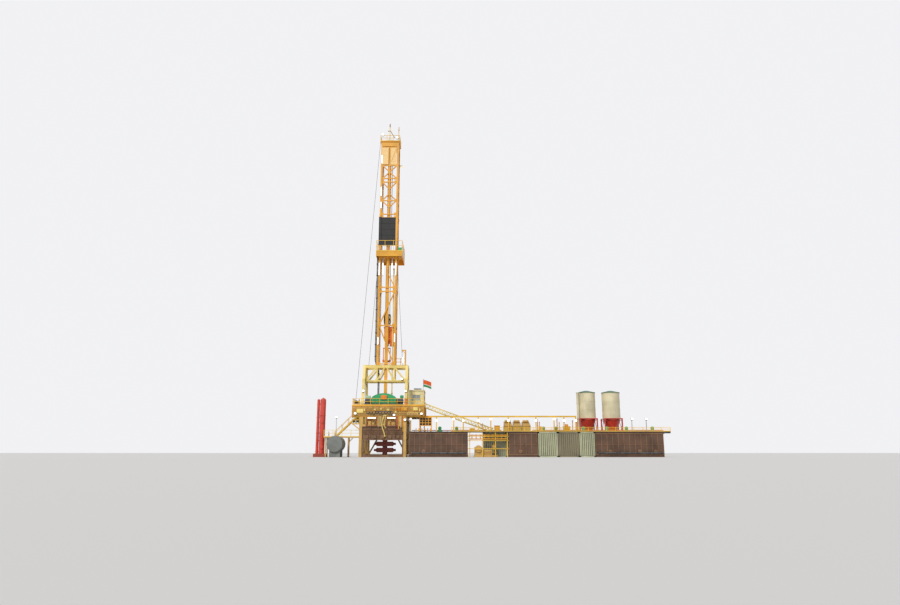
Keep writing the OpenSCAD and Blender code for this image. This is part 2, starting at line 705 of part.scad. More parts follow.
// Steep hoppers under the silos, in eight plates each.
module silo_cones() color("firebrick") {
  r = silo_d / 2;
  for (x = [silo_1, silo_2]) translate([x, silo_y, 0]) for (i = [0 : 7]) rotate(i * 45) intersection() {
    rotate_extrude() polygon([[r - 20, 2990 - gap], [r - 70, 2990 - gap], [110, 1250], [110, 1150], [150, 1150], [150, 1220], [r - 20, 2930]]);
    translate([gap, gap, 1100]) linear_extrude(1950) polygon([[0, 0], [1400, 0], [1400, 1399]]);
  }
}

module silo_legs() color("gray") {
  h = round(silo_d / 2) + 20;
  for (x = [silo_1, silo_2]) {
    difference() {
      box([x - h, silo_y - h, 2990], [x + h, silo_y + h, 3050]);
      translate([x, silo_y, 2980]) cylinder(d = silo_d - 240, h = 80);
    }
    for (i = [-h, h - 100]) for (j = [-h, h - 100])
      box([x + i, silo_y + j, 120], [x + i + 100, silo_y + j + 100, 2990]);
    for (j = [-h, h - 100]) {
      box([x - h + 100, silo_y + j + 20, 1500], [x + h - 100, silo_y + j + 80, 1600]);
      box([x + j, -tank_rear, 0], [x + j + 100, silo_y + 900, 120]);
      box([x + j + 20, silo_y - h + 100, 1500], [x + j + 80, silo_y + h - 100, 1600]);
    }
  }
}

blowout_preventer();
substructure_trusses();
rear_base_frame();
front_base_frame();
service_bays();
floor_beams();
floor_deck();
rotary_table();
rear_floor_rail();
side_floor_rails();
front_floor_rail();
drawworks_cover();
drawworks_skid();
doghouse_walls();
doghouse_floor();
doghouse_roof();
doghouse_door();
flagpole();
portal_side_frames();
portal_trusses();
mast_lower_sides();
mast_lower_rear();
mast_middle_sides();
mast_middle_rear();
mast_upper_sides();
mast_upper_rear();
windbreak();
racking_board();
racking_board_rails();
crown_frame();
crown_sheaves();
crown_rails();
top_drive_guide();
mast_stays();
travelling_block();
top_drive();
drilling_lines();
left_platforms();
platform_rails();
hatch_ladder();
stair_frames();
stair_treads();
separator_vessels();
separator_skid();
gangway_sides();
gangway_deck();
mud_tanks();
tank_row_deck();
tank_row_rail();
ribbed_containers();
lamp_beam_frame();
shale_shakers();
hole_rack();
light_posts();
round_tank();
round_tank_ends();
silo_shells();
silo_caps();
silo_cones();
silo_legs();
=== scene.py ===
import math

import bmesh
import bpy
from mathutils import Matrix, Vector


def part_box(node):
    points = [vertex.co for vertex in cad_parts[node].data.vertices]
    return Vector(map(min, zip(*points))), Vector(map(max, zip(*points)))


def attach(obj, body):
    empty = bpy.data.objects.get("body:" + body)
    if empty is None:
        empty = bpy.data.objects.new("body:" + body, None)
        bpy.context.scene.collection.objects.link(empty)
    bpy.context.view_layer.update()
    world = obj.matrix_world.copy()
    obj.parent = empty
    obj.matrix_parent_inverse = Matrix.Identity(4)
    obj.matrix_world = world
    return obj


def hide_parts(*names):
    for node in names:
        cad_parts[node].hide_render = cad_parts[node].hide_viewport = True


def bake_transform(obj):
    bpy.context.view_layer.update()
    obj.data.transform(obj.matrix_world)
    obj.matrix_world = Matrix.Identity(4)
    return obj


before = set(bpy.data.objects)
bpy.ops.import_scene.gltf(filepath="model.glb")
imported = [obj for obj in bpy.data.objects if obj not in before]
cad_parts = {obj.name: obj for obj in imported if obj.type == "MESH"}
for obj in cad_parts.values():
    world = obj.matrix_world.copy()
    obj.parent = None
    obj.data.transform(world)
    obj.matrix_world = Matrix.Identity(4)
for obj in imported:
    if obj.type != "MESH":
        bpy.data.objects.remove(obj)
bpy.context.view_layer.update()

# Camera: a wide lens close to the ground, 54 m from the well, tilted up at the mast.
camera_data = bpy.data.cameras.new("camera")
camera_data.lens = 27.4
camera_data.sensor_width = 36
camera_data.clip_end = 900
camera = bpy.data.objects.new("camera", camera_data)
camera.location = (5.085, -54.7, 0.34)
camera.rotation_euler = (math.radians(90 + 12.35), 0, 0)
bpy.context.scene.collection.objects.link(camera)
bpy.context.scene.camera = camera


# Studio: a pale floor and a pale sky that only the camera, gloss and glass see,
# lit by one broad key lamp and an even sky.
class Lead:
    """A socket in a material's nodes that can be added, multiplied and mixed."""

    def __init__(self, tree, socket):
        self.tree, self.socket = tree, socket

    def node(self, kind, settings=(), sockets=(), out=0):
        made = self.tree.nodes.new(kind)
        for name, value in dict(settings).items():
            setattr(made, name, value)
        for name, value in dict(sockets).items():
            if isinstance(value, Lead):
                self.tree.links.new(value.socket, made.inputs[name])
            else:
                made.inputs[name].default_value = value
        return Lead(self.tree, made.outputs[out])

    def math(self, operation, other, swap=False):
        pair = {0: other, 1: self} if swap else {0: self, 1: other}
        return self.node("ShaderNodeMath", {"operation": operation}, pair)

    def __add__(self, other):
        return self.math("ADD", other)

    def __radd__(self, other):
        return self.math("ADD", other, True)

    def __sub__(self, other):
        return self.math("SUBTRACT", other)

    def __rsub__(self, other):
        return self.math("SUBTRACT", other, True)

    def __mul__(self, other):
        return self.math("MULTIPLY", other)

    def __rmul__(self, other):
        return self.math("MULTIPLY", other, True)

    def between(self, low, high):
        return self.node("ShaderNodeMapRange", {"interpolation_type": "SMOOTHSTEP"},
                         {"Value": self, "From Min": low, "From Max": high})

    def tint(self, first, second):
        """Mixes two colours by this mask. Each is a lead, or its red, green and blue."""
        first, second = (shade if isinstance(shade, Lead) else (*shade, 1) for shade in (first, second))
        return self.node("ShaderNodeMix", {"data_type": "RGBA"}, {0: self, 6: first, 7: second}, 2)

    def stretched(self, x, y, z):
        return self.node("ShaderNodeMapping", {}, {"Vector": self, "Scale": (x, y, z)})

    def noise(self, scale, detail=3, rough=0.55):
        return self.node("ShaderNodeTexNoise", {},
                         {"Vector": self, "Scale": scale, "Detail": detail, "Roughness": rough})

    def bump(self, strength, distance):
        return self.node("ShaderNodeBump", {},
                         {"Height": self, "Strength": strength, "Distance": distance})


def begin(name):
    material = bpy.data.materials.new(name)
    material.use_nodes = True
    shader = material.node_tree.nodes["Principled BSDF"]
    place = Lead(material.node_tree, None).node("ShaderNodeTexCoord", out="Object")
    return material, shader, place


def feed(shader, socket, lead):
    lead.tree.links.new(lead.socket, shader.inputs[socket])


floor_half = 400
floor_mesh = bpy.data.meshes.new("studio_floor")
floor_corners = [(-floor_half, -floor_half, 0), (floor_half, -floor_half, 0),
                 (floor_half, floor_half, 0), (-floor_half, floor_half, 0)]
floor_mesh.from_pydata(floor_corners, [], [(0, 1, 2, 3)])
studio_floor = bpy.data.objects.new("studio_floor", floor_mesh)
studio_floor.location.z = -0.002
bpy.context.scene.collection.objects.link(studio_floor)
floor_paint, floor_shader, _ = begin("studio_floor")
floor_shader.inputs["Base Color"].default_value = (0.82, 0.81, 0.79, 1)
floor_shader.inputs["Roughness"].default_value = 0.9
floor_mesh.materials.append(floor_paint)

sky = bpy.data.worlds.new("studio_sky")
sky.use_nodes = True
bpy.context.scene.world = sky
sky_light = sky.node_tree.nodes["Background"]
seen, gloss, through = (Lead(sky.node_tree, None).node("ShaderNodeLightPath", out=ray)
                        for ray in ("Is Camera Ray", "Is Glossy Ray", "Is Transmission Ray"))
pale = seen.math("MAXIMUM", gloss).math("MAXIMUM", through)
feed(sky_light, "Strength", pale * 0.5 + 0.4)
sky_light.inputs["Color"].default_value = (0.98, 0.98, 1, 1)

key = bpy.data.lights.new("key", "SUN")
key.energy = 1.9
key.angle = math.radians(18)
key_lamp = bpy.data.objects.new("key", key)
key_lamp.rotation_euler = (math.radians(52), math.radians(6), math.radians(-28))
bpy.context.scene.collection.objects.link(key_lamp)
bpy.context.scene.view_settings.view_transform = "Standard"


# Mast paint: golden yellow over rolled steel, chalky with age, with rust bleeding at
# the joints and dust in vertical runs. The other paints of the rig are mixed the same way.
def paint(name, shade, fade=0.16, rust=0.12, grime=0.3, rough=0.42, coat=0.0, ripple=0.12):
    material, shader, place = begin(name)
    clouds = place.noise(0.9, 5)
    runs = place.stretched(7, 7, 0.55).noise(1.6, 4)
    specks = place.noise(17, 4, 0.7)
    patches = place.noise(2.6, 6, 0.65)
    darker = [c * (1 - fade) for c in shade]
    lighter = [min(1, c * (1 + fade * 0.6) + fade * 0.02) for c in shade]
    colour = clouds.between(0.35, 0.65).tint(darker, lighter)
    soot = (shade[0] * 0.34 + 0.02, shade[1] * 0.3 + 0.015, shade[2] * 0.28 + 0.012)
    dirt = runs.between(0.52, 0.76) * patches.between(0.35, 0.7) * grime
    colour = dirt.tint(colour, soot)
    chips = (specks * 0.55 + patches * 0.45).between(0.66 - rust * 0.35, 0.74 - rust * 0.3)
    bare_rust = (0.17, 0.062, 0.022)
    colour = (chips * min(1, 0.35 + rust * 2)).tint(colour, bare_rust)
    feed(shader, "Base Color", colour)
    feed(shader, "Roughness", specks * 0.12 + chips * 0.3 + (rough - 0.06))
    feed(shader, "Normal", (patches * 0.6 + specks * 0.4).bump(ripple, 0.02))
    shader.inputs["Coat Weight"].default_value = coat
    return material


def dress(material, *nodes):
    for node in nodes:
        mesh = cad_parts[node].data
        mesh.materials.clear()
        mesh.materials.append(material)


golden = paint("golden_paint", (0.82, 0.39, 0.03), rust=0.1)
dress(golden, "mast_lower_sides", "mast_lower_rear", "mast_middle_sides", "mast_middle_rear",
      "mast_upper_sides", "mast_upper_rear", "top_drive_guide", "crown_frame", "racking_board")


# Gussets and pins: flat plates welded where braces meet a leg, and pinned collars
# where one mast section stands on the next.
class Bench:
    """Gathers plates, bars and pipes into one mesh, which is then painted and fixed to a body."""

    def __init__(self, name):
        self.name, self.mesh = name, bmesh.new()

    def plate(self, low, high):
        low, high = Vector(low), Vector(high)
        place = Matrix.Translation((high + low) / 2) @ Matrix.Diagonal((*(high - low), 1))
        bmesh.ops.create_cube(self.mesh, size=1, matrix=place)
        return self

    def plates(self, *pairs):
        for low, high in pairs:
            self.plate(low, high)
        return self

    def set_between(self, start, end):
        """The place of a shape, made along Z, that reaches from start to end, and its length."""
        start, end = Vector(start), Vector(end)
        turn = (end - start).to_track_quat("Z", "Y").to_matrix().to_4x4()
        return Matrix.Translation((start + end) / 2) @ turn, (end - start).length

    def bar(self, start, end, width, depth):
        place, length = self.set_between(start, end)
        bmesh.ops.create_cube(self.mesh, size=1, matrix=place @ Matrix.Diagonal((width, depth, length, 1)))
        return self

    def round(self, start, end, radius, sides=12):
        place, length = self.set_between(start, end)
        bmesh.ops.create_cone(self.mesh, cap_ends=True, segments=sides, radius1=radius, radius2=radius,
                              depth=length, matrix=place)
        return self

    def skin(self, rings):
        """Joins each ring of points to the next and closes both ends."""
        sides = len(rings[0])
        for one, two in zip(rings, rings[1:]):
            for k in range(sides):
                self.mesh.faces.new((one[k], one[(k + 1) % sides], two[(k + 1) % sides], two[k]))
        self.mesh.faces.new(rings[0][::-1])
        self.mesh.faces.new(rings[-1])
        return self

    def ring(self, centre, side, across, radius, sides):
        return [self.mesh.verts.new(centre + (side * math.cos(t) + across * math.sin(t)) * radius)
                for t in (2 * math.pi * k / sides for k in range(sides))]

    def pipe(self, points, radius, sides=10):
        points = [Vector(p) for p in points]
        rings = []
        for i, point in enumerate(points):
            before = (point - points[i - 1] if i else points[1] - point).normalized()
            after = (points[i + 1] - point).normalized() if i + 1 < len(points) else before
            along = (before + after).normalized()
            side = side - along * side.dot(along) if i else along.cross(Vector((0.13, 0.31, 0.94)))
            side.normalize()
            wide = radius / max(0.5, math.cos(before.angle(after) / 2))
            rings.append(self.ring(point, side, along.cross(side), wide, sides))
        return self.skin(rings)

    def lathe(self, centre, axis, profile, sides=24):
        """Turns a list of (along, radius) round an axis."""
        centre, axis = Vector(centre), Vector(axis).normalized()
        side = axis.orthogonal().normalized()
        return self.skin([self.ring(centre + axis * along, side, axis.cross(side), radius, sides)
                          for along, radius in profile])

    def hoop(self, centre, axis, half, inner, outer, sides):
        """A flat band rolled round an axis."""
        section = [(-half, inner), (-half, outer), (half, outer), (half, inner)]
        return self.lathe(centre, axis, section, sides)

    def fix(self, material, slot, body="rig", smooth=False, bevel=0.0):
        bmesh.ops.recalc_face_normals(self.mesh, faces=self.mesh.faces)
        mesh = bpy.data.meshes.new(self.name)
        self.mesh.to_mesh(mesh)
        self.mesh.free()
        mesh.materials.append(material)
        piece = bpy.data.objects.new(self.name, mesh)
        bpy.context.scene.collection.objects.link(piece)
        if bevel:
            edges = piece.modifiers.new("edges", "BEVEL")
            edges.width, edges.segments, edges.limit_method = bevel, 2, "ANGLE"
        if smooth:
            mesh.shade_smooth()
            mesh.set_sharp_from_angle(angle=math.radians(35))
        if body:
            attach(piece, body)
        return piece


(mast_left, mast_rear, mast_foot), (mast_right, mast_front, lower_top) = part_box("mast_lower_sides")
middle_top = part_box("mast_middle_sides")[1][2]
mast_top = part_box("mast_upper_sides")[1][2]
rear_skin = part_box("mast_lower_rear")[0][1]
leg = 0.15
leg_in = mast_right - leg
leg_x, leg_y = mast_right - leg / 2, mast_front - leg / 2
girts = [7.2, 10.3, 13.1, 13.45, 15.95, 17.45, 19.4, 19.7, 20.9, 22.55, 22.87, 24.04, 25.69]
gusset, gusset_thick = 0.17, 0.012
collar, collar_gap, collar_high, pin_out = 0.088, 0.012, 0.11, 0.06
gussets = Bench("mast_gussets")
for z in girts:
    for x in (-leg_in, leg_in - gusset):
        gussets.plate((x, rear_skin - gusset_thick, max(mast_foot, z - 0.13)),
                      (x + gusset, rear_skin, min(mast_top, z + 0.13)))
    for x in (-0.727, 0.715):
        for y in (-0.55, 0.4):
            gussets.plate((x, y, max(mast_foot, z - 0.12)),
                          (x + gusset_thick, y + 0.15, min(mast_top, z + 0.12)))
for x in (-leg_x, leg_x):
    for y in (-leg_y, leg_y):
        for z in (lower_top, middle_top):
            for low, pin in ((z - collar_high, z - pin_out), (z + collar_gap, z + pin_out)):
                gussets.plate((x - collar, y - collar, low),
                              (x + collar, y + collar, low + collar_high - collar_gap))
                gussets.round((x - 0.11, y, pin), (x + 0.11, y, pin), 0.02)
        shoe = y - (0.075 if y > 0 else 0.1)
        gussets.plate((x - 0.1, shoe, mast_foot), (x + 0.1, shoe + 0.175, mast_foot + 0.04))
gussets.fix(golden, "golden")

# Mast ladder: galvanised rails and rungs inside the left side of the mast, held off
# the braces by brackets.
zinc, zinc_shader, place = begin("galvanised_steel")
spangle = place.node("ShaderNodeTexVoronoi", {}, {"Vector": place, "Scale": 26})
dull = place.noise(3.1, 5)
frosted = (spangle * 0.4 + dull * 0.6).between(0.2, 0.8)
feed(zinc_shader, "Base Color", frosted.tint((0.34, 0.35, 0.35), (0.62, 0.63, 0.62)))
feed(zinc_shader, "Roughness", spangle * 0.2 + 0.38)
zinc_shader.inputs["Metallic"].default_value = 0.75
dress(zinc, "light_posts", "stair_treads")


def row(first, step, count):
    """Evenly spaced places along one direction."""
    return [first + step * k for k in range(count)]


ladder_half, ladder_back, ladder_front, rung_x = 0.11, -0.585, -0.56, -0.572
ladder = Bench("mast_ladder")
for y in (-ladder_half, ladder_half):
    ladder.plate((ladder_back, y - 0.012, 7.2), (ladder_front, y + 0.012, 25.6))
for z in row(7.3, 0.15, 122):
    ladder.round((rung_x, -ladder_half, z), (rung_x, ladder_half, z), 0.008, 6)
for z in girts[1:]:
    for y in (-0.13, 0.1):
        ladder.plate((-0.64, y, z - 0.02), (ladder_front, y + 0.03, z + 0.02))
ladder.fix(zinc, "galvanised")

# Standpipe and service lines: a steel mud pipe up the right of the rear face, and four
# black lines clamped to the outside of the left leg up to the racking board.
rubber, rubber_shader, place = begin("black_rubber")
bloom = place.noise(5, 4).between(0.3, 0.7)
feed(rubber_shader, "Base Color", bloom.tint((0.012, 0.012, 0.013), (0.045, 0.042, 0.04)))
feed(rubber_shader, "Roughness", place.noise(30, 2) * 0.25 + 0.5)
pale_yellow = paint("pale_yellow_paint", (0.85, 0.66, 0.2), rust=0.08, grime=0.34)
pipe_x, pipe_y = 0.5, -0.47
gooseneck = [(pipe_y, 3.86), (pipe_y, 14.6), (-0.44, 14.9), (-0.38, 15.02), (-0.32, 14.92), (-0.3, 14.7)]
standpipe = Bench("standpipe")
standpipe.pipe([(pipe_x, y, z) for y, z in gooseneck], 0.045, 14)
for z in (4.9, 7.25, 10.35, 13.15):
    standpipe.round((pipe_x, pipe_y, z - 0.04), (pipe_x, pipe_y, z + 0.04), 0.075, 14)
    standpipe.plate((pipe_x - 0.06, -0.56, z - 0.02), (pipe_x + 0.06, pipe_y, z + 0.02))
standpipe.fix(pale_yellow, "pale_yellow", smooth=True)

lines_y, lines_shift = -0.45, -0.28
lines = Bench("service_lines")
for x in row(-0.5, -0.04, 4):
    lines.pipe([(x, lines_y, 3.9), (x, lines_y, 6.4), (x + lines_shift, lines_y, 7.5),
                (x + lines_shift, lines_y, 15.95)], 0.017, 8)
for z in row(7.8, 0.95, 9):
    lines.plate((-0.93, -0.6, z), (mast_left, -0.42, z + 0.04))
lines.fix(rubber, "black")


# Tube lights: sealed white tubes in thin trays, clipped to the legs, or to straps
# between them.
def shining(name, shade, dimmer, brighter, strength):
    """Lamp glass that glows by itself, a little unevenly."""
    material, shader, place = begin(name)
    shader.inputs["Base Color"].default_value = (*shade, 1)
    feed(shader, "Emission Color", place.noise(6, 2).tint(dimmer, brighter))
    shader.inputs["Emission Strength"].default_value = strength
    return material


glow = shining("lamp_glow", (1, 0.97, 0.9), (1, 0.93, 0.78), (1, 0.98, 0.92), 1.6)
tube_places = [(-0.66, 24.2, 24.9), (-0.66, 21.3, 22.05), (-0.66, 20.2, 20.72),
               (-0.68, 14.45, 15.45), (-0.4, 14.45, 15.45), (0.36, 14.45, 15.45),
               (0.66, 14.45, 15.45), (-0.66, 8.75, 9.3), (0.66, 8.95, 9.6)]
trays, tubes = Bench("tube_light_trays"), Bench("tube_lights")
for x, low, high in tube_places:
    on_leg = abs(x) > leg_in
    back = mast_rear if on_leg else rear_skin
    if not on_leg:
        trays.plate((x - 0.03, back - 0.01, low - 0.1), (x + 0.03, back, high + 0.6))
    trays.plate((x - 0.05, back - 0.03, low - 0.04), (x + 0.05, back, high + 0.04))
    tubes.round((x, back - 0.045, low), (x, back - 0.045, high), 0.032, 10)
trays.fix(zinc, "galvanised")
tubes.fix(glow, "galvanised", smooth=True)

# Windbreak: black painted sheet steel, bolted to battens behind the derrick hand's
# place. It is rigid, with a crumpled look from years of wind.
tar, tar_shader, place = begin("black_sheet")
crease = place.stretched(1, 1, 0.35).noise(4, 5)
feed(tar_shader, "Base Color", crease.between(0.3, 0.75).tint((0.008, 0.008, 0.008), (0.03, 0.028, 0.026)))
feed(tar_shader, "Roughness", crease * 0.3 + 0.5)
feed(tar_shader, "Normal", crease.bump(0.5, 0.03))
dress(tar, "windbreak")
sheet_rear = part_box("windbreak")[0][1]
sheet_half, wing_left, wing_low = 0.585, -0.8, 16.95
battens = Bench("windbreak_battens")
for z in (17.36, 17.87, 18.38, 18.89, 19.36):
    battens.plate((-sheet_half, sheet_rear - 0.016, z - 0.02), (sheet_half, sheet_rear, z + 0.02))
battens.plates(((-0.04, -0.678, 17.31), (0.04, -0.671, 19.39)),
               ((wing_left, -0.718, wing_low), (-sheet_half, -0.708, 19.42)),
               ((-sheet_half, -0.686, wing_low), (sheet_half, -0.676, 17.33)))
for z in (16.97, 17.87, 18.89, 19.4):
    battens.plate((wing_left, -0.728, z - 0.02), (-sheet_half, -0.718, z + 0.02))
battens.fix(tar, "black")

# Crown windwall: two sheets of plywood behind the sheaves, their grain painted a bright
# warm orange as painted floodlight from the crown lamps, each screwed to the rear girts,
# with a strut across the right one.
floodlit_ply, floodlit_ply_shader, place = begin("windwall_floodlit_sheets")
grain = place.stretched(9, 9, 0.8).noise(3, 6, 0.6)
# Wood grain, painted bright warm orange as the floodlight falling on the sheets.
feed(floodlit_ply_shader, "Base Color", grain.tint((0.86, 0.5, 0.15), (0.98, 0.74, 0.36)))
feed(floodlit_ply_shader, "Roughness", grain * 0.2 + 0.4)
sheet_thick = 0.008
sheets = Bench("crown_windwall")
for left, right, back in ((-0.69, -0.11, -0.702), (0.06, 0.565, -0.657)):
    face = back - sheet_thick
    sheets.plate((left, face, 24.1), (right, back, 25.62))
    for z in (24.4, 24.87, 25.34):
        sheets.plate((left, face - 0.006, z - 0.01), (right, face, z + 0.01))
sheets.fix(floodlit_ply, "golden")
strut = Bench("windwall_strut")
strut.bar((0.13, -0.67, 24.35), (0.5, -0.67, 25.5), 0.035, 0.015)
strut.fix(golden, "golden")

# Racking board: open grating for the derrick hand, steel fingers that part the pipe
# stands, and a green air winch on the right.
rail_yellow = paint("rail_paint", (0.88, 0.53, 0.04), rust=0.07, grime=0.25)
dress(rail_yellow, "racking_board_rails", "crown_rails", "rear_floor_rail", "side_floor_rails",
      "front_floor_rail", "tank_row_rail", "stair_frames", "lamp_beam_frame")
(board_left, board_rear, board_low), (board_right, _, board_top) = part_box("racking_board")
slat_high, finger_z = board_top + 0.012, board_top + 0.04
finger_out, finger_in, finger_radius = 0.6, 0.1, 0.014
board = Bench("racking_board_fittings")
for x in row(board_left, 0.1, 22):
    board.plate((x, board_rear, board_top), (x + 0.01, -0.7, slat_high))
for y in row(-0.68, 0.16, 15):
    board.plate((0.76, y, board_top), (1.18, y + 0.01, slat_high))
for x in (-0.9, -0.55, -0.2, 0.15, 0.5, 0.85, 1.14):
    board.plate((x, board_rear - 0.012, board_low), (x + 0.03, board_rear, board_top))
for z in (board_low, board_top - 0.03):
    board.plate((board_left, board_rear - 0.015, z), (board_right, board_rear, z + 0.03))
for y in row(0.82, 0.13, 7):
    for side in (-1, 1):
        tip = (side * finger_in, y, finger_z)
        board.round((side * finger_out, y, finger_z), tip, finger_radius, 8)
        board.round(tip, (side * finger_in, y, finger_z + 0.08), finger_radius, 8)
board.fix(rail_yellow, "rail_yellow")
green = paint("green_paint", (0.03, 0.4, 0.14), rust=0.05, grime=0.3, rough=0.35, coat=0.25)
winch = Bench("board_winch")
winch.plate((0.86, -1.0, 16.41), (1.12, -0.78, 16.62))
winch.round((0.84, -0.89, 16.66), (1.14, -0.89, 16.66), 0.07, 14)
for x in (0.86, 1.08):
    winch.plate((x, -0.96, 16.58), (x + 0.04, -0.82, 16.74))
winch.fix(green, "green", bevel=0.008)

# Crown block: grooved sheaves on one shaft, two aerials with red beacons on the rails
# and a short gin pole.
steel, steel_shader, place = begin("dark_steel")
mill = place.noise(4, 5).between(0.3, 0.7)
feed(steel_shader, "Base Color", mill.tint((0.05, 0.052, 0.055), (0.14, 0.135, 0.13)))
feed(steel_shader, "Roughness", place.noise(14, 3) * 0.3 + 0.32)
steel_shader.inputs["Metallic"].default_value = 0.4
dress(steel, "crown_sheaves", "drawworks_skid", "gangway_deck", "floor_deck", "tank_row_deck",
      "doghouse_floor")
along_x, along_y, rearward, up, down = (1, 0, 0), (0, 1, 0), (0, -1, 0), (0, 0, 1), (0, 0, -1)
sheave_xs, shaft_z = row(-0.18, 0.12, 4), 26.31
groove = [(-0.03, 0.335), (-0.012, 0.3), (0.012, 0.3), (0.03, 0.335), (0.034, 0.335),
          (0.034, 0.25), (-0.034, 0.25), (-0.034, 0.335), (-0.03, 0.335)]
wheels = Bench("crown_wheels")
for x in sheave_xs:
    wheels.lathe((x, 0, shaft_z), along_x, groove, 40)
    wheels.hoop((x, 0, shaft_z), along_x, 0.04, 0.07, 0.1, 20)
wheels.fix(steel, "dark_steel", smooth=True)

red = paint("red_paint", (0.62, 0.055, 0.03), rust=0.1, grime=0.35, rough=0.32, coat=0.3)
tall_x, tall_y, tall_top = -0.03, -0.71, 27.5
short_x, short_y, short_top = 0.725, -0.715, 27.4
gin_pole = Bench("crown_gin_pole")
gin_pole.bar((tall_x, tall_y, 27.2), (0.35, -0.45, 26.65), 0.035, 0.035)
gin_pole.plates(((-0.07, -0.75, tall_top), (0.01, -0.67, 27.68)),
                ((-0.2, -0.73, 27.1), (0.05, -0.69, 27.16)))
gin_pole.fix(steel, "dark_steel")
tall_lamp = [(0, 0.035), (0.02, 0.045), (0.08, 0.045), (0.115, 0.02)]
short_lamp = [(0, 0.03), (0.02, 0.035), (0.06, 0.035), (0.09, 0.015)]
beacon = Bench("crown_beacon")
beacon.lathe((tall_x, tall_y, 27.68), up, tall_lamp, 14)
beacon.lathe((short_x, short_y, short_top), up, short_lamp, 12)
beacon.fix(red, "red", smooth=True)
aerials = Bench("crown_aerials")
aerials.round((tall_x, tall_y, 26.9), (tall_x, tall_y, tall_top), 0.03, 8)
aerials.round((short_x, short_y, 26.9), (short_x, short_y, short_top), 0.028, 8)
aerials.plates(((0.66, -0.73, 27.2), (0.79, -0.7, 27.24)), ((0.69, -0.73, 27.05), (0.76, -0.7, 27.08)))
aerials.fix(steel, "dark_steel")


# Crown lamps: two floodlights on the rail, and an amber lamp on a bracket lower down
# on the right leg. The floodlights are steel boxes with bright lenses, on short yokes.
def floodlights(name, places):
    boxes, lenses = Bench(name), Bench(name + "_lenses")
    for x, y, z in places:
        boxes.plate((x - 0.09, y - 0.02, z - 0.07), (x + 0.09, y + 0.06, z + 0.07))
        boxes.plate((x - 0.02, y + 0.04, z - 0.13), (x + 0.02, y + 0.1, z + 0.02))
        lenses.plate((x - 0.08, y - 0.035, z - 0.06), (x + 0.08, y - 0.02, z + 0.06))
    boxes.fix(steel, "dark_steel")
    lenses.fix(glow, "galvanised", bevel=0.012)


floodlights("crown_floodlights", [(-0.62, -0.87, 26.72), (0.6, -0.87, 26.45)])
arm_y, arm_z, lamp_z = -0.6, 24.02, 23.97
bracket = Bench("mast_lamp_bracket")
bracket.bar((0.72, arm_y, arm_z), (1.06, arm_y, arm_z), 0.03, 0.03)
bracket.bar((0.72, arm_y, 23.8), (0.95, arm_y, 24.01), 0.02, 0.02)
bracket.plate((1.02, arm_y - 0.02, lamp_z), (1.07, arm_y + 0.02, arm_z))
bracket.fix(steel, "dark_steel")
amber = shining("amber_lamp", (1, 0.45, 0.08), (1, 0.36, 0.04), (1, 0.5, 0.1), 1.3)
mast_lamp = Bench("mast_lamp")
mast_lamp.lathe((1.045, arm_y, lamp_z), down, [(0, 0.03), (0.015, 0.06), (0.08, 0.06), (0.11, 0.035)], 16)
mast_lamp.fix(amber, "orange", smooth=True)

# Stays: three greased wire ropes, one from the crown to the drill floor and two from the
# racking board to the portal base. Their twisted strands show as fine slanting bands.
rope, rope_shader, place = begin("wire_rope")
twist = place.node("ShaderNodeTexWave", {"bands_direction": "DIAGONAL"}, {"Vector": place, "Scale": 30})
feed(rope_shader, "Base Color", twist.tint((0.07, 0.065, 0.06), (0.2, 0.19, 0.18)))
feed(rope_shader, "Normal", twist.bump(0.5, 0.004))
rope_shader.inputs["Metallic"].default_value = 0.6
rope_shader.inputs["Roughness"].default_value = 0.5
dress(rope, "mast_stays")

# Drilling lines: eight falls of wire rope from the crown wheels to the block.
falls = Bench("drilling_line_falls")
for x in sheave_xs:
    for y in (-0.09, 0.09):
        falls.round((x, y, 11.3), (x, y, 25.75), 0.012, 8)
hoisted = falls.fix(rope, "wire_rope", None, smooth=True)
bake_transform(hoisted)
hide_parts("drilling_lines")

# Travelling block: black cheek plates with yellow edges round three sheaves, and a
# forged hook shank below.
black = paint("black_paint", (0.03, 0.03, 0.032), rust=0.06, grime=0.1, rough=0.38)
dress(black, "travelling_block")
cheek = [(0, 0.02), (0, 0.3), (0.02, 0.3), (0.02, 0.24), (0.03, 0.24), (0.03, 0.02)]
cheeks = Bench("block_cheeks")
for side in (-1, 1):
    cheeks.lathe((side * 0.256, 0, 10.9), (side, 0, 0), cheek, 32)
    cheeks.plate((side * 0.225 - 0.03, -0.19, 10.46), (side * 0.225 + 0.03, 0.19, 10.52))
cheeks.fix(rail_yellow, "rail_yellow", "hoist", smooth=True)

# Top drive: an orange motor on a gear case, running down the guide column on a dolly,
# with long links to the pipe elevator.
orange = paint("orange_paint", (0.85, 0.23, 0.02), rust=0.06, grime=0.25, rough=0.35, coat=0.2)
dress(orange, "top_drive")
motor = Bench("top_drive_fittings")
for z in row(8.85, 0.14, 9):
    motor.plate((0.235, -0.2, z), (0.555, 0.2, z + 0.03))
motor.lathe((0.395, 0, 10.15), up, [(0, 0.12), (0.05, 0.15), (0.12, 0.15), (0.16, 0.08)], 20)
for x in (-0.27, 0.27):
    motor.lathe((x, 0, 7.52), up, [(0, 0.05), (0.03, 0.07), (0.08, 0.07), (0.11, 0.04)], 12)
for z in (9.2, 10.1):
    motor.plate((-0.24, -0.43, z), (0.24, -0.4, z + 0.1))
motor.fix(orange, "orange", "hoist", smooth=True)

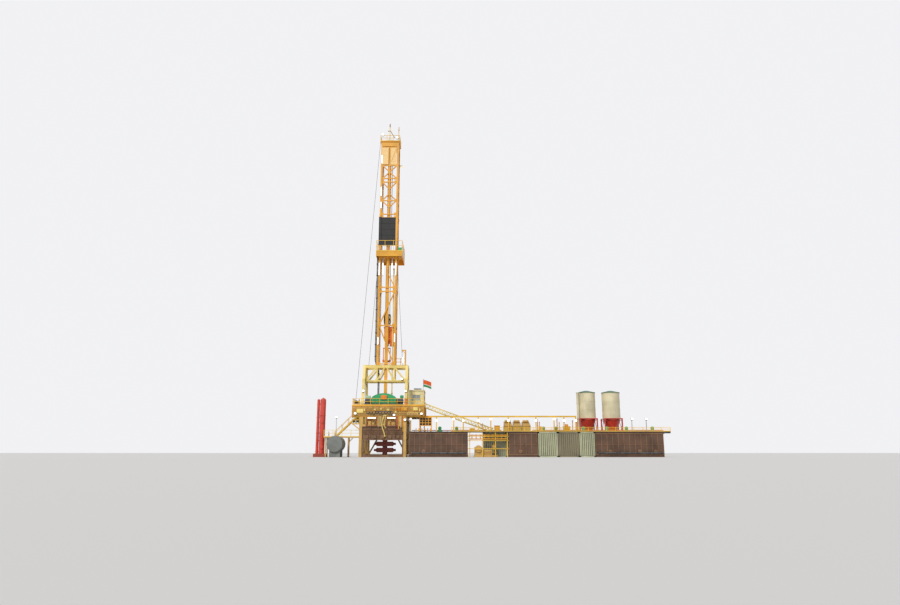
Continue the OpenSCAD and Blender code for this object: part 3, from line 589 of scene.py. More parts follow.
# Portal base: pale yellow plate girders with stiffeners along the header, pinned at
# every corner, with floodlights low on the rear legs and one under the header.
dress(pale_yellow, "portal_side_frames", "portal_trusses", "gangway_sides")
(portal_left, _, portal_foot), (portal_right, _, portal_top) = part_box("portal_side_frames")
header_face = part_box("portal_trusses")[1][1]
portal = Bench("portal_stiffeners")
for x in row(-1.56, 0.24, 14):
    for y in (-header_face - 0.012, header_face):
        portal.plate((x - 0.01, y, 6.9), (x + 0.01, y + 0.012, 7.07))
for y in (-header_face - 0.015, header_face):
    for z in (6.87, portal_top - 0.015):
        portal.plate((portal_left, y, z), (portal_right, y + 0.015, z + 0.015))
for side in (-1, 1):
    x = side * (portal_right - 0.1)
    for way in (-1, 1):
        foot = way * 1.405
        portal.plate((x - 0.125, foot - 0.12, portal_foot), (x + 0.125, foot + 0.12, portal_foot + 0.022))
        for y, z in ((1.36, 4.02), (0.915, 5.85), (0.62, 6.98)):
            portal.round((x - 0.12, way * y, z), (x + 0.12, way * y, z), 0.045, 16)
    for x in (side * leg_x, side * 1.45):
        for y in (-header_face - 0.008, header_face):
            portal.plate((x - 0.12, y, 5.86), (x + 0.12, y + 0.008, 6.03))
portal.fix(pale_yellow, "pale_yellow")
floodlights("portal_floodlights", [(-1.65, -1.31, 5.02), (1.63, -1.31, 4.99), (1.31, -0.8, 5.99)])

# Davit: a small golden hoist post on the right end of the header, braced to the mast's
# leg, with a tube light in a tray on the brace.
davit_y = -0.64
davit = Bench("header_davit")
davit.plates(((1.5, -0.69, portal_top), (1.6, -0.59, 8.32)), ((1.26, -0.68, 8.24), (1.6, -0.6, 8.32)),
             ((1.46, -0.73, portal_top), (1.64, -0.55, portal_top + 0.03)))
davit.bar((1.33, davit_y, 8.24), (1.52, davit_y, 8.02), 0.04, 0.04)
davit.round((1.28, davit_y, 8.1), (1.28, davit_y, 8.24), 0.03, 10)
for x in (0.8, 1.14):
    davit.plate((x, -0.68, portal_top), (x + 0.05, -0.63, 7.62))
for z in (7.32, 7.58):
    davit.plate((0.75, -0.68, z), (1.5, davit_y, z + 0.04))
davit.fix(golden, "golden")
davit_lamp = Bench("davit_lamp")
davit_lamp.round((1.37, -0.7, 7.25), (1.37, -0.7, 7.74), 0.032, 10)
davit_lamp.fix(glow, "galvanised", smooth=True)
davit_tray = Bench("davit_lamp_tray")
davit_tray.plate((1.33, -0.68, 7.22), (1.41, -0.655, 7.77))
davit_tray.fix(zinc, "galvanised")

# Drill floor: checker plate over deep beams. The band of beams has stiffeners, pipe
# runs with clamps, black and ochre lines clipped to it in fixed loops, and boxes.
ochre = paint("ochre_paint", (0.6, 0.37, 0.1), rust=0.26, grime=0.5)
dress(ochre, "substructure_trusses", "front_base_frame", "service_bays", "left_platforms",
      "shale_shakers", "floor_beams")
(floor_left, floor_rear, _), (floor_right, floor_front, floor_top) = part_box("floor_deck")
rib_low, rib_top, rib_half, rib_out, flange_out = 3.03, 3.8, 0.012, 0.035, 0.04
band = Bench("floor_band")
for x in row(-2.338, 0.302, 19):
    for y in (floor_rear - rib_out, floor_front):
        band.plate((x - rib_half, y, rib_low), (x + rib_half, y + rib_out, rib_top))
for y in row(-2.0, 0.31, 15):
    beside_gangway = -0.8 < y < -0.2
    band.plate((floor_left - rib_out, y - rib_half, rib_low), (floor_left, y + rib_half, rib_top))
    if not beside_gangway:
        band.plate((floor_right, y - rib_half, rib_low), (floor_right + rib_out, y + rib_half, rib_top))
for low, high in ((3.015, 3.045), (3.43, 3.46), (3.79, floor_top)):
    for y in (floor_rear - flange_out, floor_front):
        band.plate((floor_left - flange_out, y, low), (floor_right + rib_out, y + flange_out, high))
    band.plate((floor_left - flange_out, floor_rear, low), (floor_left, floor_front, high))
    band.plate((floor_right, floor_rear, low), (floor_right + rib_out, floor_front, high))
band.fix(golden, "golden")

run_y = -2.165
pipe_runs = [(3.11, 0.03, -2.25, 2.95), (3.2, 0.022, -2.25, 2.1), (3.29, 0.026, -1.9, 3.0),
             (3.53, 0.024, -2.3, 3.05), (3.61, 0.018, -2.3, 1.3)]
pipes = Bench("floor_band_pipes")
for z, radius, left, right in pipe_runs:
    pipes.pipe([(left, run_y, z), (right, run_y, z)], radius, 8)
    for x in row(left + 0.3, (right - left - 0.6) / 6, 7):
        pipes.round((x - 0.02, run_y, z), (x + 0.02, run_y, z), radius * 1.6, 10)
for x in (-1.6, -0.75, 0.35, 1.25, 2.35):
    pipes.round((x, run_y, 3.1), (x, run_y, 3.62), 0.018, 8)
pipes.fix(ochre, "ochre", smooth=True)
# Two dark steel sheets on the beam band: painted shade standing for recesses in it.
recess_shade_sheets = Bench("floor_band_recess_shade")
recess_shade_sheets.plates(((-0.62, -2.15, 3.06), (0.72, -2.138, 3.4)), ((-1.28, -2.15, 3.1), (-0.72, -2.138, 3.36)))
recess_shade_sheets.fix(steel, "dark_steel")


def loop(bench, left, width, y, top, drop, radius):
    """A line that sags between two clips."""
    sag = [(left + width * t / 8, y, top - drop * (1 - (t / 4 - 1) ** 2)) for t in range(9)]
    bench.pipe(sag, radius, 8)


hoses, cables = Bench("floor_hoses"), Bench("floor_cable_loops")
for k in range(9):
    loop(hoses, -1.25 + k * 0.225, 0.24, -2.2, 3.37, 0.17 + 0.05 * (k * 7 % 3), 0.015)
for k in range(11):
    loop(cables, -2.1 + k * 0.45, 0.43, -2.19, 3.72, 0.07 + 0.03 * (k * 5 % 4), 0.011)
for x in row(-2.12, 0.45, 12):
    cables.plate((x, -2.2, 3.7), (x + 0.03, -2.135, 3.75))
hoses.fix(rubber, "black", smooth=True)
cables.fix(ochre, "ochre", smooth=True)

valve_places = [(-1.3, 3.53), (0.82, 3.2), (1.08, 3.53), (1.3, 3.53)]
valve_places += [(x, 3.2) for x in row(1.96, 0.12, 6)]
hand_wheel = [(0, 0.03), (0, 0.042), (0.012, 0.042), (0.012, 0.03), (0, 0.03)]
valves = Bench("floor_valves")
for x, z in valve_places:
    valves.round((x, run_y, z), (x, -2.25, z), 0.01, 8)
    valves.lathe((x, -2.25, z), rearward, hand_wheel, 16)
    valves.plate((x - 0.032, -2.26, z - 0.005), (x + 0.032, -2.252, z + 0.005))
valves.fix(red, "red")

box_back, box_face, door_gap = -2.135, -2.2, 0.02
box_places = [(-2.0, 0.5, 3.28, 0.3), (-1.46, 0.12, 3.4, 0.2), (-0.7, 0.16, 3.46, 0.12),
              (-0.2, 0.1, 3.5, 0.16), (0.28, 0.2, 3.44, 0.14), (0.9, 0.14, 3.28, 0.16),
              (1.86, 0.8, 3.12, 0.17), (1.62, 0.18, 3.48, 0.18), (2.3, 0.34, 3.46, 0.24),
              (2.74, 0.1, 3.4, 0.2)]
boxes = Bench("floor_junction_boxes")
for x, width, z, height in box_places:
    boxes.plate((x, box_face, z), (x + width, box_back, z + height))
    middle = x + width / 2
    for left, right in ((x + door_gap, middle - 0.01), (middle + 0.01, x + width - door_gap)):
        boxes.plate((left, box_face - 0.007, z + door_gap), (right, box_face, z + height - door_gap))
boxes.fix(pale_yellow, "pale_yellow", bevel=0.005)
bottle = [(0, 0.03), (0.02, 0.042), (0.17, 0.042), (0.2, 0.025), (0.23, 0.015)]
bottles = Bench("accumulator_bottles")
for x in row(0.98, 0.1, 9):
    bottles.lathe((x, -2.19, 3.5), up, bottle, 12)
bottles.plate((0.92, -2.235, 3.46), (1.84, -2.135, 3.5))
bottles.fix(golden, "golden", smooth=True)
floodlights("floor_floodlights",
            [(-2.09, -2.24, 3.23), (2.92, -2.24, 3.21), (0.85, -2.24, 3.12), (1.675, -2.2, 2.76)])

# Rotary table and well gear: rust-red castings. The blowout preventer under the floor
# has rings of bolts on its flanges, and a bolted bonnet on either side of each ram.
oxide = paint("oxide_paint", (0.3, 0.05, 0.025), rust=0.2, grime=0.4)
dress(oxide, "rotary_table", "blowout_preventer", "separator_skid")
bonnet = [(0, 0.13), (0.04, 0.13), (0.06, 0.09), (0.22, 0.09), (0.24, 0.03)]
bolts = Bench("well_bolts")
for z, radius in ((0.09, 0.28), (1.29, 0.29), (1.85, 0.29)):
    for turn in row(0, math.pi / 8, 16):
        x, y = radius * math.cos(turn), radius * math.sin(turn)
        bolts.round((x, y, z - 0.02), (x, y, z + 0.05), 0.022, 6)
for z in (0.525, 0.995):
    for side in (-1, 1):
        bolts.lathe((side * 0.62, 0, z), (side, 0, 0), bonnet, 20)
        for y in (-0.13, 0.13):
            for dz in (-0.13, 0.13):
                bolts.round((side * 0.61, y, z + dz), (side * 0.66, y, z + dz), 0.02, 6)
bolts.fix(oxide, "oxide_red", smooth=True)

# Drawworks: green arched guard with rolled ribs and louvres over the drum, an orange
# blower at its rear, and finned motors either side with their own fans on top.
dress(green, "drawworks_cover", "doghouse_door")
guard_face = -1.8
half_arch = [(0.93, 4.41), (0.83, 4.54), (0.6, 4.66), (0.33, 4.74), (0.11, 4.77)]
arch = [(-x, z) for x, z in half_arch] + half_arch[::-1]
chimney = [(0, 0.1), (0.04, 0.1), (0.04, 0.14), (0.2, 0.14), (0.24, 0.1), (0.25, 0.03)]
guard = Bench("drawworks_ribs")
for y in (guard_face, -1.6, -1.4, -1.2, -1.02):
    over = [(x * 1.006, y, z + 0.006) for x, z in arch]
    guard.pipe([(-0.935, y, 4.01)] + over + [(0.935, y, 4.01)], 0.016, 6)
for z in row(4.05, 0.042, 8):
    for x in (-0.8, -0.5, 0.3, 0.6):
        guard.plate((x, guard_face - 0.015, z), (x + 0.22, guard_face, z + 0.015))
guard.plate((-0.9, guard_face - 0.012, 4.4), (0.9, guard_face, 4.42))
motor_y, motor_z = -1.4, 4.22
guard.lathe((1.36, motor_y, motor_z + 0.2), up, chimney, 20)
guard.fix(green, "green")
blower = Bench("drawworks_blower")
blower.plates(((-0.2, -1.91, 4.31), (0.24, -1.8, 4.63)), ((-0.15, -1.925, 4.35), (0.19, -1.91, 4.59)))
blower.lathe((0.02, -1.925, 4.47), rearward, [(0, 0.09), (0.012, 0.1), (0.012, 0.075)], 24)
blower.plates(((1.6, -2.02, floor_top), (1.85, -1.84, 4.38)), ((1.62, -2.035, 3.9), (1.83, -2.02, 4.34)),
              ((1.66, -2.045, 4.2), (1.79, -2.035, 4.3)))
blower.fix(orange, "orange", bevel=0.01)

fins = Bench("drawworks_motor_fins")
for side in (-1, 1):
    for x in row(side * 1.22 - 0.2, 0.05, 9):
        fins.hoop((x, motor_y, motor_z), along_x, 0.008, 0.195, 0.22, 24)
    fins.lathe((side * 1.455, motor_y, motor_z), (side, 0, 0), [(0, 0.15), (0.03, 0.13), (0.05, 0.05)], 20)
fins.fix(steel, "dark_steel", smooth=True)
fan = Bench("drawworks_fan_box")
fan.plates(((-1.42, -1.56, 4.43), (-1.04, -1.28, 4.62)), ((-1.39, -1.572, 4.46), (-1.07, -1.56, 4.59)))
fan.round((-1.23, -1.42, 4.4), (-1.23, -1.42, 4.44), 0.1, 16)
mint = paint("pale_green_paint", (0.5, 0.74, 0.5), rust=0.08, grime=0.4)
fan.fix(mint, "green", bevel=0.012)


# Air winch: a small spool of rope in a yellow frame at the floor's rear left corner.
def spool(bench, left, y, z, length, rim, core):
    """A drum between two flanges, lying along X."""
    right = length - 0.02
    bench.lathe((left, y, z), along_x,
                [(0, rim), (0.02, rim), (0.02, core), (right, core), (right, rim), (length, rim)], 20)


drum_y, drum_z = -1.86, 4.1
tugger = Bench("air_winch_frame")
for x in (-2.25, -1.87):
    tugger.plate((x, -2.0, floor_top), (x + 0.04, -1.72, 4.3))
    tugger.plate((x - 0.01, -2.01, 4.28), (x + 0.05, -1.71, 4.31))
tugger.plate((-2.25, -2.0, floor_top), (-1.83, -1.72, 3.9))
spool(tugger, -2.2, drum_y, drum_z, 0.32, 0.16, 0.06)
tugger.fix(rail_yellow, "rail_yellow")
wound = Bench("air_winch_rope")
for x in row(-2.165, 0.027, 10):
    wound.lathe((x, drum_y, drum_z), along_x, [(-0.012, 0.1), (0, 0.112), (0.012, 0.1)], 16)
wound.fix(rope, "wire_rope", smooth=True)

# Doghouse: pale yellow sheet cabin with pressed ribs, glazed windows in frames and a
# cooler on the roof.
cabin_paint = paint("cabin_paint", (0.9, 0.77, 0.4), rust=0.07, grime=0.5)
dress(cabin_paint, "doghouse_walls", "doghouse_roof")
(cabin_left, cabin_rear, _), (cabin_right, cabin_front, _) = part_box("doghouse_walls")
press_out, press_wide, press_low, press_sill, press_top = 0.015, 0.05, 3.88, 4.38, 5.1
cabin = Bench("doghouse_ribs")
for y in row(-0.06, 0.2, 12):
    beside_door, at_window = 0.22 < y < 0.8, 0.93 < y < 1.92
    if not beside_door:
        cabin.plate((cabin_left - press_out, y, press_low),
                    (cabin_left, y + press_wide, press_sill if at_window else press_top))
    at_window = 0.23 < y < 0.92 or 1.23 < y < 1.92
    cabin.plate((cabin_right, y, press_low),
                (cabin_right + press_out, y + press_wide, press_sill if at_window else press_top))
for x in row(1.83, 0.21, 6):
    at_window = 2.04 < x < 2.75
    cabin.plate((x, cabin_rear - press_out, press_low),
                (x + press_wide, cabin_rear, press_sill if at_window else press_top))
    cabin.plate((x, cabin_front, press_low), (x + press_wide, cabin_front + press_out, press_top))
(roof_left, roof_rear, _), (roof_right, roof_front, roof_top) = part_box("doghouse_roof")
eaves_low, eaves_top, lip = 5.11, 5.18, 0.01
for y in (roof_rear - lip, roof_front):
    cabin.plate((roof_left - lip, y, eaves_low), (roof_right + lip, y + lip, eaves_top))
for x in (roof_left - lip, roof_right):
    cabin.plate((x, roof_rear, eaves_low), (x + lip, roof_front, eaves_top))
sill, lintel, trim = 4.37, 4.79, 0.04
trim_left, trim_right, trim_rear = cabin_left - press_out, cabin_right + press_out, cabin_rear - 0.02
for z in (sill, lintel):
    cabin.plates(((2.07, trim_rear, z), (2.76, trim_rear + trim, z + trim)),
                 ((trim_left, 0.96, z), (trim_left + 0.025, 1.94, z + trim)),
                 ((trim_right - 0.025, 0.26, z), (trim_right, 1.94, z + trim)))
for x in (2.07, 2.72):
    cabin.plate((x, trim_rear, sill), (x + trim, trim_rear + trim, lintel + trim))
pane_low, pane_top = 4.4, 4.8
cabin.plate((2.405, trim_rear + 0.01, pane_low), (2.425, trim_rear + trim, pane_top))
for y in (0.26, 0.75):
    cabin.plate((trim_left, y, press_low), (trim_left + 0.025, y + trim, 4.93))
cabin.plate((trim_left, 0.26, 4.89), (trim_left + 0.025, 0.79, 4.93))
cabin.fix(cabin_paint, "pale_yellow")
cooler = Bench("roof_cooler")
cooler.plates(((2.2, 0.6, roof_top), (2.75, 1.2, 5.38)), ((2.17, 0.57, 5.36), (2.78, 1.23, 5.39)))
for z in row(5.2, 0.026, 6):
    cooler.plate((2.23, 0.585, z), (2.72, 0.6, z + 0.012))
cooler.fix(zinc, "galvanised")
glass, glass_shader, place = begin("window_glass")
feed(glass_shader, "Base Color", place.noise(2, 2).tint((0.25, 0.3, 0.3), (0.36, 0.42, 0.42)))
glass_shader.inputs["Roughness"].default_value = 0.08
glass_shader.inputs["Coat Weight"].default_value = 0.6
panes = Bench("doghouse_panes")
panes.plates(((2.1, -0.135, pane_low), (2.73, -0.125, pane_top)),
             ((1.795, 1.0, pane_low), (1.805, 1.9, pane_top)),
             ((2.99, 0.3, pane_low), (3.0, 0.9, pane_top)),
             ((2.99, 1.3, pane_low), (3.0, 1.9, pane_top)))
panes.fix(glass, "galvanised")

# Flag: three bands of woven cloth, sewn together and hung from a galvanised pole on
# the doghouse roof. It droops a little and ripples away from the pole.
pole_x, pole_y = 2.96, -0.11
pole = Bench("flag_pole")
pole.round((pole_x, pole_y, roof_top), (pole_x, pole_y, 6.03), 0.02, 12)
pole.plate((pole_x - 0.04, pole_y - 0.04, roof_top), (pole_x + 0.04, pole_y + 0.04, roof_top + 0.02))
pole_piece = pole.fix(zinc, "galvanised", smooth=True)
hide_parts("flagpole")
knob = Bench("flagpole_knob")
knob.lathe((pole_x, pole_y, 6.05), down, [(0, 0.012), (0.01, 0.03), (0.035, 0.03), (0.045, 0.02)], 10)
knob.fix(zinc, "galvanised")


def hung(u, v):
    """A point of the cloth: u goes away from the pole and v up it, both from 0 to 1."""
    ripple = 0.034 * u ** 0.5 * math.sin(9.5 * u + 0.9 * v)
    return 2.978 + 0.62 * u, -0.112 + ripple, 5.45 + 0.54 * v - 0.2 * u ** 1.4


cells_out, cells_up = 30, 20
flag = Bench("flag_cloth")
rows = [[flag.mesh.verts.new(hung(i / cells_out, j / cells_up)) for i in range(cells_out + 1)]
        for j in range(cells_up + 1)]
for below, above in zip(rows, rows[1:]):
    for i in range(cells_out):
        flag.mesh.faces.new((below[i], below[i + 1], above[i + 1], above[i]))
woven = []
for name, shade in (("flag_green", (0.02, 0.3, 0.08)), ("flag_white", (0.78, 0.77, 0.72)),
                    ("flag_orange", (0.85, 0.13, 0.02))):
    cloth, cloth_shader, place = begin(name)
    weave = place.stretched(40, 40, 40).noise(3, 3)
    feed(cloth_shader, "Base Color", weave.tint([c * 0.8 for c in shade], shade))
    feed(cloth_shader, "Normal", weave.bump(0.3, 0.002))
    cloth_shader.inputs["Roughness"].default_value = 0.85
    woven.append(cloth)
flag_piece = flag.fix(woven[0], "galvanised", smooth=True)
for cloth in woven[1:]:
    flag_piece.data.materials.append(cloth)
for face in flag_piece.data.polygons:
    cell_row = face.index // cells_out
    face.material_index = 0 if cell_row < 6 else 1 if cell_row < 8 else 2
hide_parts("flagpole")

# Service bays: two lined and lit machine rooms under the floor, framed in oxide red,
# with a white tube light and pumps in each, and painted risers beside them.
bay_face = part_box("service_bays")[0][1]
bay_floor, bay_top, bay_back, bay_frame, frame_foot = 2.34, 2.95, -1.512, bay_face - 0.025, 2.28
bay_sides = ((-1.23, -0.48), (0.28, 1.01))
bays = Bench("bay_tube_lights")
for left in (-1.17, 0.33):
    bays.round((left, -2.04, 2.9), (left + 0.62, -2.04, 2.9), 0.04, 12)
bays.fix(glow, "galvanised", smooth=True)
gear = Bench("bay_machinery")
for x, width, height in ((-1.15, 0.26, 0.34), (-0.85, 0.2, 0.26), (0.33, 0.24, 0.36), (0.63, 0.3, 0.28)):
    gear.plate((x, -1.95, bay_floor), (x + width, -1.6, bay_floor + height))
    eye_x, eye_z = x + width / 2, bay_floor + height * 0.5
    gear.round((eye_x, -1.99, eye_z), (eye_x, -1.95, eye_z), height * 0.28, 16)
for z in (2.72, 2.82):
    for left, right in ((-1.22, -0.49), (0.29, 1.0)):
        gear.pipe([(left, -1.7, z), (right, -1.7, z)], 0.025, 8)
gear.fix(ochre, "ochre", bevel=0.01)
bay_cream = paint("bay_lining_paint", (0.88, 0.74, 0.4), rust=0.08, grime=0.4)
lining, lining_face = 0.008, -2.08
linings, frames = Bench("bay_linings"), Bench("bay_frames")
for left, right in bay_sides:
    linings.plate((left, bay_back, bay_floor), (right, bay_back + 0.01, bay_top))
    linings.plate((left, lining_face, bay_floor), (right, bay_back, bay_floor + lining))
    for x in (left, right - lining):
        linings.plate((x, lining_face, bay_floor + lining), (x + lining, bay_back, bay_top))
    for x in (left - 0.05, right):
        frames.plate((x, bay_frame, frame_foot), (x + 0.05, bay_face, 2.99))
    frames.plate((left - 0.05, bay_frame, frame_foot), (right + 0.05, bay_face, 2.335))
    frames.plate((left, -2.07, 2.66), (right, -2.05, 2.68))
    for x in row(left + 0.02, 0.125, 6):
        frames.plate((x, bay_frame - 0.025, 2.29), (x + 0.07, bay_frame, 2.325))
linings.fix(bay_cream, "pale_yellow")
frames.fix(oxide, "oxide_red")

riser_sets = (
    ("bay_pipes_red", red, "red", ((1.13, 2.0), (1.46, 2.25))),
    ("bay_pipes_yellow", rail_yellow, "rail_yellow", ((1.21, 2.1), (1.54, 1.9), (-0.36, 2.4))),
    ("bay_pipes_pale", bay_cream, "pale_yellow", ((1.3, 2.35), (1.38, 2.2), (-0.28, 2.3), (-0.18, 2.5))))
riser_y = -2.14
for name, finish, slot, spots in riser_sets:
    risers = Bench(name)
    for x, low in spots:
        bend = [(x, riser_y, 3.02), (x, riser_y, low + 0.06), (x, -2.12, low), (x, -2.05, low)]
        risers.pipe(bend, 0.024, 10)
        for z in (2.95, 2.65):
            risers.round((x, riser_y, z - 0.015), (x, riser_y, z + 0.015), 0.036, 10)
    risers.fix(finish, slot, smooth=True)

# Bent pipes: two pale pipes between the bays, from a hanger under the floor down to
# flanges on the girder, held half way by a strap.
wide_bend = [(0.08, -2.16, 3.08), (0.06, -2.19, 2.9), (-0.05, -2.2, 2.62), (-0.06, -2.2, 2.35),
             (0.0, -2.2, 2.1), (0.1, -2.2, 1.85), (0.16, -2.19, 1.62), (0.17, -2.16, 1.57),
             (0.17, -2.1, 1.56)]
slight_bend = [(0.2, -2.16, 3.08), (0.19, -2.18, 2.8), (0.12, -2.19, 2.5), (0.16, -2.19, 2.24),
               (0.2, -2.15, 2.18), (0.2, -2.1, 2.17)]
bent = Bench("bent_pipes")
bent.pipe(wide_bend, 0.034, 10)
bent.pipe(slight_bend, 0.026, 10)
for x, z, radius in ((0.17, 1.56, 0.07), (0.2, 2.17, 0.055)):
    bent.round((x, bay_frame, z), (x, bay_face, z), radius, 16)
strap_rear, strap_low, strap_top = -2.24, 2.4, 2.44
bent.plates(((-0.02, -2.2, 3.06), (0.28, -2.13, 3.12)),
            ((-0.12, strap_rear, strap_low), (0.2, strap_rear + 0.015, strap_top)))
for x in (-0.12, 0.18):
    bent.plate((x, strap_rear, strap_low), (x + 0.02, bay_face, strap_top))
bent.fix(pale_yellow, "pale_yellow", smooth=True)

# Side shelf: yellow slats and a railed shelf left of the bays, with two cable reels
# on it.
shelf_left, shelf_right, shelf_rear, shelf_front = -2.35, -1.77, -2.08, -1.55
louvre = Bench("side_louvre_slats")
for x in (-1.55, -1.33):
    louvre.plate((x, bay_frame, 2.42), (x + 0.03, bay_face, 2.99))
for z in row(2.47, 0.08, 7):
    louvre.bar((-1.55, -2.115, z), (-1.3, -2.115, z), 0.035, 0.012)
louvre.plate((shelf_left, shelf_rear, 2.44), (shelf_right, shelf_front, 2.5))
for x in (shelf_left, -2.08, -1.81):
    louvre.plate((x, shelf_rear, 2.5), (x + 0.03, shelf_rear + 0.03, 3.01))
for z in (2.74, 2.94):
    louvre.plate((shelf_left, shelf_rear, z), (shelf_right, shelf_rear + 0.03, z + 0.05))
    louvre.plate((shelf_left, shelf_rear, z), (shelf_left + 0.03, shelf_front, z + 0.05))
for y in (-2.05, -1.6):
    louvre.bar((-2.3, y, 2.44), (shelf_right, y, 2.03), 0.04, 0.04)
louvre.fix(rail_yellow, "rail_yellow")
reels = Bench("landing_cable_reels")
for x in (-2.2, -1.95):
    spool(reels, x - 0.09, -1.8, 2.68, 0.18, 0.17, 0.1)
# A dark steel sheet behind the louvre slats: painted shade in the gaps between them.
reels.plate((-1.52, bay_face - 0.004, 2.42), (-1.33, bay_face - 0.001, 2.99))
reels.fix(steel, "dark_steel", smooth=True)

# Base: a rust-brown plate girder across the rear of the substructure, with boxes and
# three pipes along it, and flanges on the ochre trusses of both sides.
brown = paint("brown_paint", (0.2, 0.105, 0.05), fade=0.25, rust=0.34, grime=0.5, rough=0.55)
dress(brown, "rear_base_frame")
girder_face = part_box("rear_base_frame")[0][1]
plate_face = girder_face - 0.015
flanges = Bench("substructure_flanges")
for x in (-1.785, 1.77):
    for y in (-2.1, -1.09, 0.06, 1.21, 2.22):
        for edge in (y, y + 0.16):
            flanges.plate((x, edge, 0.22), (x + 0.015, edge + 0.02, 2.79))
    for z in (0.0, 0.2, 2.79, 2.985):
        flanges.plate((x, floor_rear, z), (x + 0.015, floor_front, z + 0.02))
for x in (-1.675, 1.675):
    for z in (0.3, 1.2, 2.2):
        flanges.plate((x - 0.095, plate_face, z), (x + 0.095, girder_face, z + 0.04))
flanges.fix(ochre, "ochre")
girder = Bench("girder_fittings")
for x in (-1.3, -0.7, -0.1, 0.45, 1.05):
    girder.plate((x, plate_face, 1.36), (x + 0.24, -2.02, 1.62))
    girder.plate((x + 0.03, plate_face - 0.01, 1.4), (x + 0.21, plate_face, 1.58))
for z in (1.78, 1.9, 2.02):
    girder.pipe([(-1.5, -2.13, z), (1.5, -2.13, z)], 0.022, 8)
for x in (-1.4, -0.8, -0.2, 0.4, 1.0, 1.45):
    girder.plate((x, girder_face - 0.06, 1.72), (x + 0.03, girder_face, 2.08))
girder.fix(brown, "rust_brown")

# Left landing: open galvanised grating on ochre frames, which stand on base plates
# with short braces under the deck.
landing_top, landing_rear = 1.5, -1.47
grating = Bench("landing_grating")
for x in row(-4.54, 0.06, 46):
    front = -0.3 if x < -3.52 else -1.0
    grating.plate((x, landing_rear, landing_top), (x + 0.012, front, landing_top + 0.012))
grating.fix(zinc, "galvanised")
feet = Bench("landing_feet")
for x, y in ((-4.45, -1.3), (-4.45, -0.58), (-3.6, -1.5), (-3.6, -0.38), (-2.7, -1.5), (-2.7, -1.08)):
    feet.plate((x - 0.04, y, 0), (x + 0.12, y + 0.08, 0.02))
    feet.bar((x + 0.04, y + 0.04, 1.1), (x + 0.34, y + 0.04, 1.42), 0.03, 0.03)
feet.fix(ochre, "ochre")


# Separator vessels: red pressure shells with domed heads and rolled bands, flanged
# nozzles and a pipe between them.
def nozzle(bench, place, bore, rim, neck, thick, tip, sides):
    """A short pipe towards the rear, with a blind flange and a domed cover."""
    end = neck + thick
    profile = [(0, bore), (neck, bore), (neck, rim), (end, rim), (end + 0.01, tip)]
    bench.lathe(place, rearward, profile, sides)


dress(red, "separator_vessels", "silo_cones", "silo_legs")
large_x, small_x, vessel_y = -4.785, -5.14, -0.9
link = [(small_x, -0.95, 3.7), (small_x, -1.1, 3.7), (small_x, -1.14, 3.66), (small_x, -1.15, 3.2),
        (-5.1, -1.15, 3.14), (-4.82, -1.15, 3.14), (large_x, -1.12, 3.14), (large_x, -1.0, 3.14)]
heads = Bench("separator_fittings")
heads.lathe((large_x, vessel_y, 4.35), up,
            [(-0.02, 0.222), (0.0, 0.214), (0.06, 0.18), (0.1, 0.13), (0.13, 0.06)], 28)
heads.lathe((small_x, vessel_y, 4.33), up, [(-0.02, 0.112), (0.0, 0.11), (0.05, 0.085), (0.08, 0.03)], 20)
for z in (0.42, 1.25, 2.2, 3.15, 4.1):
    heads.hoop((large_x, vessel_y, z), up, 0.025, 0.218, 0.234, 28)
for z in (0.4, 1.8, 3.0, 4.0):
    heads.hoop((small_x, vessel_y, z), up, 0.025, 0.108, 0.13, 20)
heads.pipe(link, 0.03, 10)
nozzle(heads, (large_x, -1.1, 0.75), 0.1, 0.14, 0.06, 0.03, 0.05, 20)
nozzle(heads, (large_x, -1.1, 2.65), 0.06, 0.09, 0.08, 0.03, 0.04, 18)
heads.fix(red, "red", smooth=True)

# Gangway: pale yellow laced sides, and a steel deck that slopes from the drill floor to
# the tank row, with galvanised cleats welded across it.
gangway_top, gangway_fall = 3.77, 1.95 / 5.35
cleats = Bench("gangway_cleats")
for x in row(3.15, 0.09, 58):
    z = gangway_top - (x - floor_right) * gangway_fall
    cleats.bar((x, -0.66, z), (x, -0.29, z), 0.02, 0.02)
cleats.fix(zinc, "galvanised")

# Mud tanks: rust-brown boxes with pressed stiffeners, a wide top lip and round dump
# gates, and a suction line along the foot.
tank_brown = paint("tank_panel_paint", (0.11, 0.055, 0.03), fade=0.3, rust=0.3, grime=0.6, rough=0.55)
dress(tank_brown, "mud_tanks")
(_, tank_rear, _), (_, tank_front, _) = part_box("mud_tanks")
stiff_half, stiff_low, stiff_top, stiff_gap = 0.03, 0.15, 1.7, 0.42
stiff = Bench("tank_stiffeners")
for left, right in ((1.98, 6.44), (9.53, 11.71), (16.09, 21.26)):
    count = round((right - left) / stiff_gap)
    for x in row(left + stiff_half, (right - left - 2 * stiff_half) / count, count + 1):
        for back, face in ((tank_rear - 0.03, tank_rear), (tank_front, tank_front + 0.035)):
            stiff.plate((x - stiff_half, back, stiff_low), (x + stiff_half, face, stiff_top))
    for back, face in ((tank_rear - 0.045, tank_rear), (tank_front, tank_front + 0.05)):
        for low, high in ((stiff_top, 1.78), (stiff_low, 0.22), (0.9, 0.94)):
            stiff.plate((left, back, low), (right, face, high))
for x in (3.1, 5.2, 10.4, 17.2, 19.4, 20.6):
    nozzle(stiff, (x, tank_rear, 0.42), 0.11, 0.15, 0.05, 0.03, 0.04, 18)
stiff.fix(brown, "rust_brown")
suction_y, suction_z = -1.9, 0.3
suction = Bench("suction_line")
for left, right in ((2.2, 6.2), (16.3, 21.1)):
    suction.pipe([(left, suction_y, suction_z), (right, suction_y, suction_z)], 0.06, 12)
for x in (2.2, 3.1, 4.2, 5.2, 6.2, 16.3, 17.2, 18.3, 19.4, 20.4, 21.1):
    suction.round((x - 0.03, suction_y, suction_z), (x + 0.03, suction_y, suction_z), 0.1, 14)
suction.fix(steel, "dark_steel", smooth=True)
